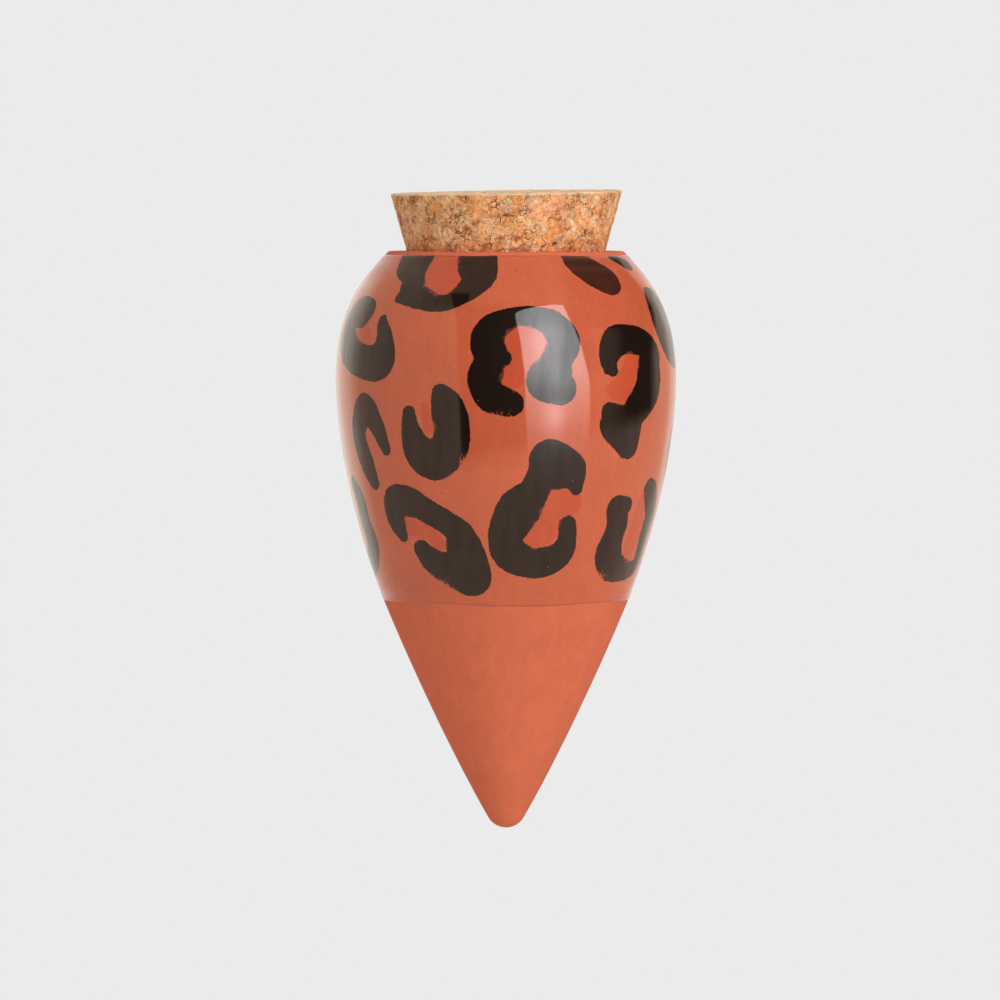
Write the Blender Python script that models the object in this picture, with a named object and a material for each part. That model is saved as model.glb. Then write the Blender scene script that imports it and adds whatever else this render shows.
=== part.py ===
"""Irrigation olla: a hollow clay vessel with a pointed foot, closed by a tapered cork stopper.

Metres, +Z up along the axis of turning. The origin is on that axis at the soil line, where the
glaze of the belly ends and the bare, porous foot begins. -Y is the side that faces the viewer.
"""
from math import asin, cos, pi, radians, sin, tan

import bmesh
import bpy
from mathutils import Vector

# The vessel's outside, as radii about the axis and heights above the soil line
LIP_HEIGHT = 0.0792
MOUTH_RADIUS = 0.02266
LIP_WIDTH = 0.0030
LIP_ROUNDING = 0.0017
SHOULDER_SLOPE = radians(43.5)
BELLY_RADIUS = 0.03855
BELLY_HEIGHT = 0.0504
SOIL_LINE_RADIUS = 0.02758
SOIL_LINE_SLOPE = radians(21.9)
FOOT_DEPTH = 0.0513
FOOT_SLOPE = radians(30.0)
FOOT_ROUNDING = 0.0047

# How full the curves between those places are, as lengths of their tangent handles
SHOULDER_START_FULLNESS = 0.0054
SHOULDER_END_FULLNESS = 0.0178
FLANK_START_FULLNESS = 0.0090
FLANK_END_FULLNESS = 0.0233
FOOT_START_FULLNESS = 0.0100
FOOT_END_FULLNESS = 0.0187

# The vessel's inside
WALL = 0.0048
SEAT_DEPTH = 0.0038
UNDER_LIP_DROP = 0.0034
INNER_MOUTH_ROUNDING = 0.0004
INNER_FOOT_RADIUS = 0.0026

# The cork stopper
CORK_PROUD = 0.0134
CORK_SEATED = 0.0091
CORK_TAPER = radians(15.8)
CORK_EDGE_ROUNDING = 0.0004
CORK_TOP_RISE_TO_THE_RIGHT = radians(0.87)
CORK_TOP_RISE_TO_THE_BACK = radians(0.70)
SEAT_CLEARANCE = 0.0003

# How finely the turned shapes are divided
SIDES = 56
CURVE_STEPS = 10
SHORT_CURVE_STEPS = 3
FOOT_TIP_STEPS = 4
ROUNDING_SEGMENTS = 2
SMOOTH_ANGLE = radians(35.0)
MERGE_DISTANCE = 1e-7

TERRACOTTA = (0.578, 0.114, 0.045, 1.0)
CORK = (0.610, 0.328, 0.141, 1.0)


def clear_scene():
    """Removes whatever objects the scene holds."""
    for item in list(bpy.data.objects):
        bpy.data.objects.remove(item, do_unlink=True)


def material(name, color, roughness, coat):
    """A plain finish with its colour, its roughness and its layer of glaze."""
    finish = bpy.data.materials.new(name)
    finish.use_nodes = True
    shader = finish.node_tree.nodes["Principled BSDF"]
    shader.inputs["Base Color"].default_value = color
    shader.inputs["Roughness"].default_value = roughness
    shader.inputs["Metallic"].default_value = 0.0
    shader.inputs["Coat Weight"].default_value = coat
    return finish


def curve(start, start_handle, end_handle, end, steps):
    """Points along one cubic curve, without its first point."""
    points = []
    for step in range(1, steps + 1):
        t = step / steps
        s = 1.0 - t
        points.append(s**3 * start + 3 * s**2 * t * start_handle + 3 * s * t**2 * end_handle + t**3 * end)
    return points


def downward(slope):
    """The direction that leaves the axis at a slope while it goes down."""
    return Vector((sin(slope), -cos(slope)))


def inward(slope):
    """The direction that comes nearer the axis at a slope while it goes down."""
    return Vector((-sin(slope), -cos(slope)))


def tip_arc(centre, radius, slope, steps):
    """Points of a round tip, from where it leaves a wall of that slope down to the axis."""
    points = []
    for step in range(1, steps + 1):
        angle = slope + (pi / 2 - slope) * step / steps
        points.append(Vector((radius * cos(angle), centre - radius * sin(angle))))
    points[-1].x = 0.0
    return points


def outer_profile():
    """The outside from the lip's flat down to the point of the foot, as (radius, height)."""
    flat_edge = Vector((MOUTH_RADIUS + LIP_WIDTH, LIP_HEIGHT))
    corner = flat_edge + Vector((LIP_ROUNDING / 2, 0.0))
    shoulder = corner + downward(SHOULDER_SLOPE) * LIP_ROUNDING / 2
    belly = Vector((BELLY_RADIUS, BELLY_HEIGHT))
    soil_line = Vector((SOIL_LINE_RADIUS, 0.0))
    tip_centre = FOOT_ROUNDING - FOOT_DEPTH
    tip_start = Vector((FOOT_ROUNDING * cos(FOOT_SLOPE), tip_centre - FOOT_ROUNDING * sin(FOOT_SLOPE)))
    up = Vector((0.0, 1.0))
    profile = [flat_edge]
    profile += curve(flat_edge, corner, corner, shoulder, SHORT_CURVE_STEPS)
    profile += curve(shoulder, shoulder + downward(SHOULDER_SLOPE) * SHOULDER_START_FULLNESS,
                     belly + up * SHOULDER_END_FULLNESS, belly, CURVE_STEPS)
    profile += curve(belly, belly - up * FLANK_START_FULLNESS,
                     soil_line - inward(SOIL_LINE_SLOPE) * FLANK_END_FULLNESS, soil_line, CURVE_STEPS)
    profile += curve(soil_line, soil_line + inward(SOIL_LINE_SLOPE) * FOOT_START_FULLNESS,
                     tip_start - inward(FOOT_SLOPE) * FOOT_END_FULLNESS, tip_start, CURVE_STEPS)
    profile += tip_arc(tip_centre, FOOT_ROUNDING, FOOT_SLOPE, FOOT_TIP_STEPS)
    return profile


def inner_wall(outside):
    """The outside moved in by the wall's thickness, from under the lip to above the foot's point."""
    wall = []
    for before, here, after in zip(outside, outside[1:], outside[2:]):
        along = (after - before).normalized()
        moved = here + Vector((along.y, -along.x)) * WALL
        below_the_seat = moved.y < LIP_HEIGHT - SEAT_DEPTH - UNDER_LIP_DROP
        if below_the_seat and moved.x > INNER_FOOT_RADIUS:
            wall.append(moved)
    return wall


def inner_profile():
    """The inside from the mouth's edge down its seat and wall to the bottom, as (radius, height)."""
    wall = inner_wall(outer_profile())
    edge = Vector((MOUTH_RADIUS, LIP_HEIGHT))
    down_the_seat = inward(CORK_TAPER)
    seat_top = edge + down_the_seat * INNER_MOUTH_ROUNDING
    seat_bottom = edge + down_the_seat * SEAT_DEPTH / cos(CORK_TAPER)
    reach = (wall[0] - seat_bottom).length / 3
    along_the_wall = (wall[1] - wall[0]).normalized()
    last_run = (wall[-1] - wall[-2]).normalized()
    slope = asin(-last_run.x)
    rounding = wall[-1].x / cos(slope)
    profile = [edge + Vector((INNER_MOUTH_ROUNDING, 0.0)), seat_top, seat_bottom]
    profile += curve(seat_bottom, seat_bottom + down_the_seat * reach,
                     wall[0] - along_the_wall * reach, wall[0], SHORT_CURVE_STEPS)
    profile += wall[1:]
    profile += tip_arc(wall[-1].y + rounding * sin(slope), rounding, slope, FOOT_TIP_STEPS)
    return profile


def turned(profile):
    """The shape that a (radius, height) outline makes when it is turned once about the axis."""
    shape = bmesh.new()
    points = [shape.verts.new((radius, 0.0, height)) for radius, height in profile]
    edges = [shape.edges.new(pair) for pair in zip(points, points[1:])]
    bmesh.ops.spin(shape, geom=points + edges, cent=(0.0, 0.0, 0.0), axis=(0.0, 0.0, 1.0),
                   angle=2 * pi, steps=SIDES, use_merge=True)
    bmesh.ops.remove_doubles(shape, verts=shape.verts, dist=MERGE_DISTANCE)
    bmesh.ops.recalc_face_normals(shape, faces=shape.faces)
    return shape


def piece(name, shape, finish, height):
    """Puts a finished shape in the scene, with its origin on the axis at a height."""
    mesh = bpy.data.meshes.new(name)
    shape.to_mesh(mesh)
    shape.free()
    mesh.materials.append(finish)
    mesh.shade_smooth()
    mesh.set_sharp_from_angle(angle=SMOOTH_ANGLE)
    item = bpy.data.objects.new(name, mesh)
    item.location = (0.0, 0.0, height)
    bpy.context.scene.collection.objects.link(item)
    return item


def clay_vessel():
    """The fired clay body in one piece: flat lip, conical seat, hollow belly and pointed foot."""
    outside = outer_profile()
    inside = inner_profile()
    shape = turned(list(reversed(inside)) + outside)
    finish = material("glazed_terracotta", TERRACOTTA, roughness=0.35, coat=1.0)
    return piece("clay_vessel", shape, finish, height=0.0)


def cork_radius(height):
    """The stopper's radius at a height above the lip."""
    return MOUTH_RADIUS - SEAT_CLEARANCE / cos(CORK_TAPER) + height * tan(CORK_TAPER)


def slant_the_top(shape):
    """Moves the stopper's upper rim along its side onto the slanted plane that it was cut at."""
    for vertex in shape.verts:
        around = Vector((vertex.co.x, vertex.co.y))
        if vertex.co.z > CORK_PROUD / 2 and around.length > MERGE_DISTANCE:
            direction = around.normalized()
            rise = direction.x * tan(CORK_TOP_RISE_TO_THE_RIGHT) + direction.y * tan(CORK_TOP_RISE_TO_THE_BACK)
            radius = around.length / (1.0 - tan(CORK_TAPER) * rise)
            vertex.co = (direction.x * radius, direction.y * radius, vertex.co.z + rise * radius)


def round_the_rims(shape):
    """Breaks the sharp edges of the stopper's two ends."""
    ends = [face for face in shape.faces if len(face.verts) == SIDES]
    rims = {edge for face in ends for edge in face.edges}
    bmesh.ops.bevel(shape, geom=list(rims), offset=CORK_EDGE_ROUNDING, offset_type="OFFSET",
                    segments=ROUNDING_SEGMENTS, profile=0.5, affect="EDGES")


def cork_stopper():
    """The tapered stopper, seated in the mouth, with its origin on the axis at the lip."""
    side = [(cork_radius(height), height) for height in (CORK_PROUD, -CORK_SEATED)]
    shape = turned(side)
    bmesh.ops.holes_fill(shape, edges=shape.edges, sides=0)
    bmesh.ops.recalc_face_normals(shape, faces=shape.faces)
    slant_the_top(shape)
    round_the_rims(shape)
    finish = material("agglomerated_cork", CORK, roughness=0.9, coat=0.0)
    return piece("cork_stopper", shape, finish, height=LIP_HEIGHT)


def main():
    clear_scene()
    clay_vessel()
    cork_stopper()


main()
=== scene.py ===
"""The looks of an irrigation olla: a pointed clay vessel, spotted above its soil line, and its cork."""

import math
from typing import NamedTuple

import bpy
import numpy as np
from bpy.props import FloatProperty, FloatVectorProperty, IntProperty, PointerProperty
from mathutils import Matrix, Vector


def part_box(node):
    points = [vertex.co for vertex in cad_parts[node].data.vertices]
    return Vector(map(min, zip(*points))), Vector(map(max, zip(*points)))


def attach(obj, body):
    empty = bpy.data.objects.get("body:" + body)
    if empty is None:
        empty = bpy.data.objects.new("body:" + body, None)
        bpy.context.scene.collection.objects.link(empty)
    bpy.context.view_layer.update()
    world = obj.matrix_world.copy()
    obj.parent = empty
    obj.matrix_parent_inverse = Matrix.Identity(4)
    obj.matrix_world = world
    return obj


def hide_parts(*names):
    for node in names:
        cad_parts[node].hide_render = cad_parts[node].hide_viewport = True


bl_info = {
    "name": "Irrigation olla",
    "version": (1, 0, 0),
    "blender": (4, 5, 0),
    "location": "3D View > Sidebar > Olla",
    "description": "Makes a spotted clay watering vessel, its cork stopper and a pale studio round them",
    "category": "Object",
}

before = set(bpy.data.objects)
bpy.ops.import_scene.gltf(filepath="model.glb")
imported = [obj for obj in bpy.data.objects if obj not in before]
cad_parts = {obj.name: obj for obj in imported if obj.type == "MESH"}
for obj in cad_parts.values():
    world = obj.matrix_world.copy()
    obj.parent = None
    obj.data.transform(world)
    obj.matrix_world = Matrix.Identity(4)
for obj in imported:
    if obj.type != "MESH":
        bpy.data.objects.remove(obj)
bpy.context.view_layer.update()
VESSEL_LOW, VESSEL_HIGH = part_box("clay_vessel")

MM = 0.001
FULL_TURN = 2 * math.pi


def display_colour(red, green, blue):
    """A colour as a screen shows it, 0 to 255, as the linear colour that a shader takes."""
    channels = []
    for value in (red, green, blue):
        share = value / 255
        channels.append(share / 12.92 if share <= 0.04045 else ((share + 0.055) / 1.055) ** 2.4)
    return tuple(channels)


def with_alpha(colour):
    """A colour property as the four numbers of a colour socket."""
    return (*colour, 1.0)


def length(name, description, default):
    """A length in metres that a user may change."""
    return FloatProperty(name=name, description=description, default=default, unit="LENGTH", precision=5)


def slope(name, description, degrees):
    """An angle that a user may change."""
    return FloatProperty(name=name, description=description, default=math.radians(degrees), unit="ROTATION")


def tint(name, description, red, green, blue):
    """A colour that a user may change, given as a screen shows it."""
    colour = display_colour(red, green, blue)
    return FloatVectorProperty(
        name=name, description=description, default=colour, subtype="COLOR", min=0, max=1
    )


def number(name, description, default):
    """A plain number that a user may change."""
    return FloatProperty(name=name, description=description, default=default)


def power(name, description, default):
    """A lamp's power that a user may change."""
    return FloatProperty(name=name, description=description, default=default, unit="POWER")


class VesselSizes(bpy.types.PropertyGroup):
    """Sizes of the clay vessel."""

    lip_height: length("Lip height", "Height of the lip's flat top above the soil line", VESSEL_HIGH.z)
    mouth_radius: length("Mouth radius", "Radius of the mouth at the lip", 0.02266)
    lip_width: length("Lip width", "Width of the lip's flat ring", 0.0030)
    lip_rounding: length("Lip rounding", "Size of the rounding between lip and shoulder", 0.0017)
    shoulder_slope: slope("Shoulder slope", "How steeply the shoulder leaves the lip, from the axis", 43.5)
    belly_radius: length("Belly radius", "Largest radius", VESSEL_HIGH.x)
    belly_height: length("Belly height", "Height of the largest radius above the soil line", 0.0504)
    soil_line_radius: length("Soil line radius", "Radius where the glaze stops", 0.02758)
    soil_line_slope: slope("Soil line slope", "Slope of the wall at the soil line, from the axis", 21.9)
    foot_depth: length("Foot depth", "Depth of the foot's tip below the soil line", -VESSEL_LOW.z)
    foot_slope: slope("Foot slope", "Slope of the foot just above its tip, from the axis", 30.0)
    foot_rounding: length("Foot rounding", "Radius of the rounded tip", 0.0047)
    wall: length("Wall", "Thickness of the clay", 0.0048)
    seat_depth: length("Seat depth", "Depth of the conical seat of the stopper", 0.0038)
    under_lip_drop: length("Under the lip", "Height over which the inside widens below the seat", 0.0034)
    mouth_rounding: length("Mouth rounding", "Rounding between the lip and the seat", 0.0004)
    inner_foot_radius: length("Inner foot radius", "Radius at which the inside's tip starts", 0.0026)
    glaze_foot: length("Glaze foot", "Mean height of the glaze's lower edge", 0.00028)
    glaze_top: length("Glaze top", "Mean height of the glaze's upper edge", 0.0784)
    glaze_sag: length("Glaze sag", "How far the glaze ran down at the front of the soil line", 0.0005)
    glaze_waver: length("Glaze waver", "How far the glaze's edges wander up and down", 0.00035)
    glaze_bead: length("Glaze bead", "Height of the bead of glaze along its edges", 0.00013)
    unevenness: length("Unevenness", "How far the turned wall strays inwards", 0.00016)
    around: IntProperty(name="Around", description="Faces round the vessel", default=360, min=24)


class VesselFinish(bpy.types.PropertyGroup):
    """Colours of the clay, the paint and the glaze."""

    glazed_clay: tint("Glazed clay", "Terracotta under the clear glaze", 202, 94, 61)
    bare_clay: tint("Bare clay", "Dry terracotta of the lip, the foot and the inside", 219, 112, 80)
    coral: tint("Coral", "Paint inside the spots", 198, 80, 50)
    black: tint("Black", "Paint of the spots", 29, 16, 10)
    pale_speck: tint("Pale speck", "Dust that fired into the glaze", 236, 158, 122)
    brown: tint("Brown", "Black paint where it thins out over the coral", 112, 56, 34)
    maroon: tint("Maroon", "Black paint where it is brushed on thin", 70, 33, 22)
    # Also the colour of the darker line along the glaze's edges.
    speck: tint("Speck", "Pin specks in the glaze", 120, 52, 32)


class CorkSizes(bpy.types.PropertyGroup):
    """Sizes of the cork stopper."""

    proud: length("Proud", "Mean height of its top above the lip", 0.01326)
    seated: length("Seated", "Depth of its lower end below the lip", 0.0091)
    taper: slope("Taper", "Slope of its side, from the axis", 15.8)
    edge_rounding: length("Edge rounding", "Wear along its two edges", 0.00025)
    rise_to_the_right: slope("Rise to the right", "How far out of square the top was cut", 0.87)
    rise_to_the_back: slope("Rise to the back", "How far out of square the top was cut", 0.70)
    seat_clearance: length("Seat clearance", "Gap between its side and the seat", 0.0003)
    granule: length("Granule", "Width of a large granule", 0.0046)
    crumb: length("Crumb", "Width of a small granule", 0.0022)
    chip: length("Chip", "Width of the facets that a granule breaks into", 0.0017)
    crack_depth: length("Crack depth", "Depth of the gaps between granules", 0.00028)
    pit_depth: length("Pit depth", "Depth of the pits", 0.0007)
    step: length("Step", "How far a granule may lie below its neighbours", 0.00022)
    around: IntProperty(name="Around", description="Faces round the cork", default=420, min=24)


class CorkFinish(bpy.types.PropertyGroup):
    """Colours of the cork."""

    dark_granule: tint("Dark granule", "Darkest granules", 230, 150, 90)
    tan_granule: tint("Tan granule", "Most granules", 252, 180, 116)
    pink_granule: tint("Pink granule", "Reddish granules", 252, 172, 132)
    light_granule: tint("Light granule", "Palest granules", 255, 212, 162)
    # Pale flecks and chips, and the colour of the painted highlight along the granules' edges.
    pale_fleck_and_highlight: tint("Fleck", "Torn edges that catch the light", 255, 226, 186)
    # Painted light: the top face is drawn paler, as light from above makes it look.
    painted_lit_top: tint("Cut top", "The fresh cut across the top", 255, 222, 182)
    # Also the colour of the painted shade along the granules' edges.
    crack: tint("Crack", "Gaps between granules", 108, 44, 12)
    pit: tint("Pit", "Bottom of the pits", 62, 18, 12)


class StudioSettings(bpy.types.PropertyGroup):
    """The camera, the lights and the pale ground."""

    backdrop: tint("Backdrop", "Pale ground", 235, 235, 235)
    room: tint("Room", "Warm walls and table that the glaze reflects", 233, 200, 177)
    ceiling: tint("Ceiling", "Dim ceiling that the glaze reflects", 208, 166, 138)
    ambient: number("Ambient", "Light that comes evenly from all sides", 0.47)
    key: power("Key", "Power of the large soft lamp", 15.5)
    fill: power("Fill", "Power of the lamp low on the left", 12.0)
    fill_tint: tint("Fill tint", "Colour of the lamp low on the left", 228, 255, 255)
    back: power("Back", "Power of the lamp behind", 10.0)
    window: number("Window", "Brightness of the soft box's reflection in the glaze", 8.2)
    rim: number("Rim", "Brightness of the walls' reflection along the vessel's sides", 1.9)
    rim_tint: tint("Rim tint", "Colour of the walls' reflection along the vessel's sides", 222, 216, 202)
    distance: length("Distance", "Camera to object", 2.8)
    camera_height: length("Camera height", "Height of the camera above the soil line", 0.104)
    aim_height: length("Aim height", "Height of the middle of the picture above the soil line", 0.0229)
    aim_side: length("Aim side", "Middle of the picture, to the right of the axis", -0.00135)
    focal_length: number("Focal length", "Lens in millimetres on a sensor 36 millimetres wide", 446.0)
    floor_depth: length("Floor depth", "Depth of the floor below the soil line", 0.28)


# Fullness of the outline's curves: the reach of their handles, in metres.
SHOULDER_START_FULLNESS = 0.0054
SHOULDER_END_FULLNESS = 0.0178
FLANK_START_FULLNESS = 0.0090
FLANK_END_FULLNESS = 0.0233
FOOT_START_FULLNESS = 0.0100
FOOT_END_FULLNESS = 0.0187

# Points along a curve and along a straight line, and how near two points count as one.
LINE_STEPS = 400
STRAIGHT_STEPS = 60
SAME_PLACE = 1e-9
SEAM_REACH = 0.002 * MM

# Spacing of the rows of faces, in metres.
GLAZED_ROWS = 0.00066
GLAZE_EDGE_ROWS = 0.00016
GLAZE_EDGE_REACH = 0.0009
FOOT_ROWS = 0.0013
TIP_ROWS = 0.0007
LIP_ROWS = 0.0004
INSIDE_ROWS = 0.0026

CORK_SIDE_ROWS = 0.00030
CORK_EDGE_ROWS = 0.00012
CORK_END_ROWS = 0.00055

# Where the glaze ran down at the soil line: the middle of the run, towards the right, and its reach.
SAG_AZIMUTH = 6.0
SAG_REACH = math.radians(34)


def towards(azimuth, elevation):
    """Direction from the object, azimuth from the camera's side towards the right."""
    turn, tilt = math.radians(azimuth), math.radians(elevation)
    return Vector((math.sin(turn) * math.cos(tilt), -math.cos(turn) * math.cos(tilt), math.sin(tilt)))


def downward(angle):
    """Direction outwards and down, at an angle from the axis."""
    return np.array([math.sin(angle), -math.cos(angle)])


def inward(angle):
    """Direction inwards and down, at an angle from the axis."""
    return np.array([-math.sin(angle), -math.cos(angle)])


def cubic(start, start_handle, end_handle, end):
    """Points along a cubic curve, both ends included."""
    share = np.linspace(0, 1, LINE_STEPS)[:, None]
    rest = 1 - share
    return (
        rest**3 * start
        + 3 * rest**2 * share * start_handle
        + 3 * rest * share**2 * end_handle
        + share**3 * end
    )


def tip_arc(centre_height, radius, angle):
    """Points of a rounded tip, from the wall's slope down to the axis."""
    turn = np.linspace(angle, math.pi / 2, LINE_STEPS)
    arc = np.column_stack([radius * np.cos(turn), centre_height - radius * np.sin(turn)])
    arc[-1, 0] = 0
    return arc


def joined(*lines):
    """Lines of points end to end, without the points they share."""
    whole = lines[0]
    for line in lines[1:]:
        shared = np.linalg.norm(whole[-1] - line[0]) < SAME_PLACE
        whole = np.vstack([whole, line[1:] if shared else line])
    return whole


def spaced(line, spacing):
    """The line again, with points about as far apart as spacing says at each place, and its ends kept."""
    steps = np.linalg.norm(np.diff(line, axis=0), axis=1)
    middles = (line[1:] + line[:-1]) / 2
    rows = np.concatenate([[0], np.cumsum(steps / np.array([spacing(point) for point in middles]))])
    wanted = np.linspace(0, rows[-1], max(2, int(round(rows[-1])) + 1))
    return np.column_stack([np.interp(wanted, rows, line[:, 0]), np.interp(wanted, rows, line[:, 1])])


def outer_line(sizes):
    """The vessel's outline from the lip's flat edge down to the tip, as radius and height."""
    up = np.array([0.0, 1.0])
    flat_edge = np.array([sizes.mouth_radius + sizes.lip_width, sizes.lip_height])
    corner = flat_edge + np.array([sizes.lip_rounding / 2, 0])
    shoulder = corner + downward(sizes.shoulder_slope) * sizes.lip_rounding / 2
    belly = np.array([sizes.belly_radius, sizes.belly_height])
    soil_line = np.array([sizes.soil_line_radius, 0.0])
    tip_centre = sizes.foot_rounding - sizes.foot_depth
    tip = tip_arc(tip_centre, sizes.foot_rounding, sizes.foot_slope)
    return joined(
        cubic(flat_edge, corner, corner, shoulder),
        cubic(
            shoulder,
            shoulder + downward(sizes.shoulder_slope) * SHOULDER_START_FULLNESS,
            belly + up * SHOULDER_END_FULLNESS,
            belly,
        ),
        cubic(
            belly,
            belly - up * FLANK_START_FULLNESS,
            soil_line - inward(sizes.soil_line_slope) * FLANK_END_FULLNESS,
            soil_line,
        ),
        cubic(
            soil_line,
            soil_line + inward(sizes.soil_line_slope) * FOOT_START_FULLNESS,
            tip[0] - inward(sizes.foot_slope) * FOOT_END_FULLNESS,
            tip[0],
        ),
        tip,
    )


def inner_line(sizes, taper, outside):
    """The inside's outline from the lip's inner edge down to its own tip, as radius and height."""
    along = np.gradient(outside, axis=0)
    along /= np.linalg.norm(along, axis=1)[:, None]
    moved = outside + np.column_stack([along[:, 1], -along[:, 0]]) * sizes.wall
    start_height = sizes.lip_height - sizes.seat_depth - sizes.under_lip_drop
    kept = (moved[:, 1] < start_height) & (moved[:, 0] > sizes.inner_foot_radius)
    wall = moved[kept]
    edge = np.array([sizes.mouth_radius, sizes.lip_height])
    rounding = cubic(
        edge + np.array([sizes.mouth_rounding, 0]), edge, edge, edge + inward(taper) * sizes.mouth_rounding
    )
    seat_bottom = edge + inward(taper) * sizes.seat_depth / math.cos(taper)
    reach = np.linalg.norm(wall[0] - seat_bottom) / 3
    first_run = (wall[1] - wall[0]) / np.linalg.norm(wall[1] - wall[0])
    last_run = (wall[-1] - wall[-2]) / np.linalg.norm(wall[-1] - wall[-2])
    under_lip = cubic(seat_bottom, seat_bottom + inward(taper) * reach, wall[0] - first_run * reach, wall[0])
    angle = math.asin(-last_run[0])
    radius = wall[-1][0] / math.cos(angle)
    tip = tip_arc(wall[-1][1] + radius * math.sin(angle), radius, angle)
    return joined(rounding, np.array([rounding[-1], seat_bottom]), under_lip, wall, tip)


def vessel_profile(sizes, taper):
    """Rows of the vessel as radius and height, from the tip over the lip to the inside, 1 for each row outside
    and 0 for each inside, and the rows outside alone."""
    outside = outer_line(sizes)
    inside = inner_line(sizes, taper, outside)
    tip_top = sizes.foot_rounding - sizes.foot_depth
    lip_start = sizes.lip_height - sizes.lip_rounding / 2

    def outside_rows(point):
        height = point[1]
        near_edge = min(abs(height - sizes.glaze_foot), abs(height - sizes.glaze_top)) < GLAZE_EDGE_REACH
        if near_edge:
            return GLAZE_EDGE_ROWS
        if height < tip_top:
            return TIP_ROWS
        if height < 0:
            return FOOT_ROWS
        if height > lip_start:
            return LIP_ROWS
        return GLAZED_ROWS

    def inside_rows(point):
        return LIP_ROWS if point[1] > sizes.lip_height - sizes.seat_depth else INSIDE_ROWS

    outer_rows = spaced(outside[::-1], outside_rows)
    flat = np.array([outer_rows[-1], inside[0]])
    flat_rows = spaced(flat, lambda point: sizes.lip_width / 4)[1:-1]
    inner_rows = spaced(inside, inside_rows)
    rows = np.vstack([outer_rows, flat_rows, inner_rows])
    side = np.zeros(len(rows))
    side[: len(outer_rows)] = 1
    return rows, side, outer_rows


def cork_profile(sizes, vessel):
    """Rows of the straight-cut cork as radius and height, from its lower end's middle to its top's."""
    lean = math.tan(sizes.taper)

    def radius(above_lip):
        return vessel.mouth_radius - sizes.seat_clearance / math.cos(sizes.taper) + above_lip * lean

    low = vessel.lip_height - sizes.seated
    high = vessel.lip_height + sizes.proud
    low_edge = np.array([radius(-sizes.seated), low])
    high_edge = np.array([radius(sizes.proud), high])
    side = (high_edge - low_edge) / np.linalg.norm(high_edge - low_edge)
    inward_run = np.array([sizes.edge_rounding, 0])
    line = joined(
        np.array([[0.0, low], low_edge - inward_run]),
        cubic(low_edge - inward_run, low_edge, low_edge, low_edge + side * sizes.edge_rounding),
        cubic(high_edge - side * sizes.edge_rounding, high_edge, high_edge, high_edge - inward_run),
        np.array([high_edge - inward_run, [0.0, high]]),
    )

    def filled(start, end):
        steps = STRAIGHT_STEPS if np.linalg.norm(end - start) > MM else 2
        return np.linspace(start, end, steps)

    fine = joined(*[filled(start, end) for start, end in zip(line, line[1:])])

    def rows(point):
        from_edge = min(np.linalg.norm(point - edge) for edge in (low_edge, high_edge))
        if from_edge < 2 * sizes.edge_rounding:
            return CORK_EDGE_ROWS
        on_side = low + sizes.edge_rounding / 2 < point[1] < high - sizes.edge_rounding / 2
        return CORK_SIDE_ROWS if on_side else CORK_END_ROWS

    return spaced(fine, rows)


class Spot(NamedTuple):
    """One painted spot. A stroke is a row of dabs (across, up, half width), in millimetres, on an elevation
    of the vessel seen from an azimuth, in degrees from the front towards the right."""

    seen_from: float
    black: list
    coral: list = []
    thin: float = 0.0


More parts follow.
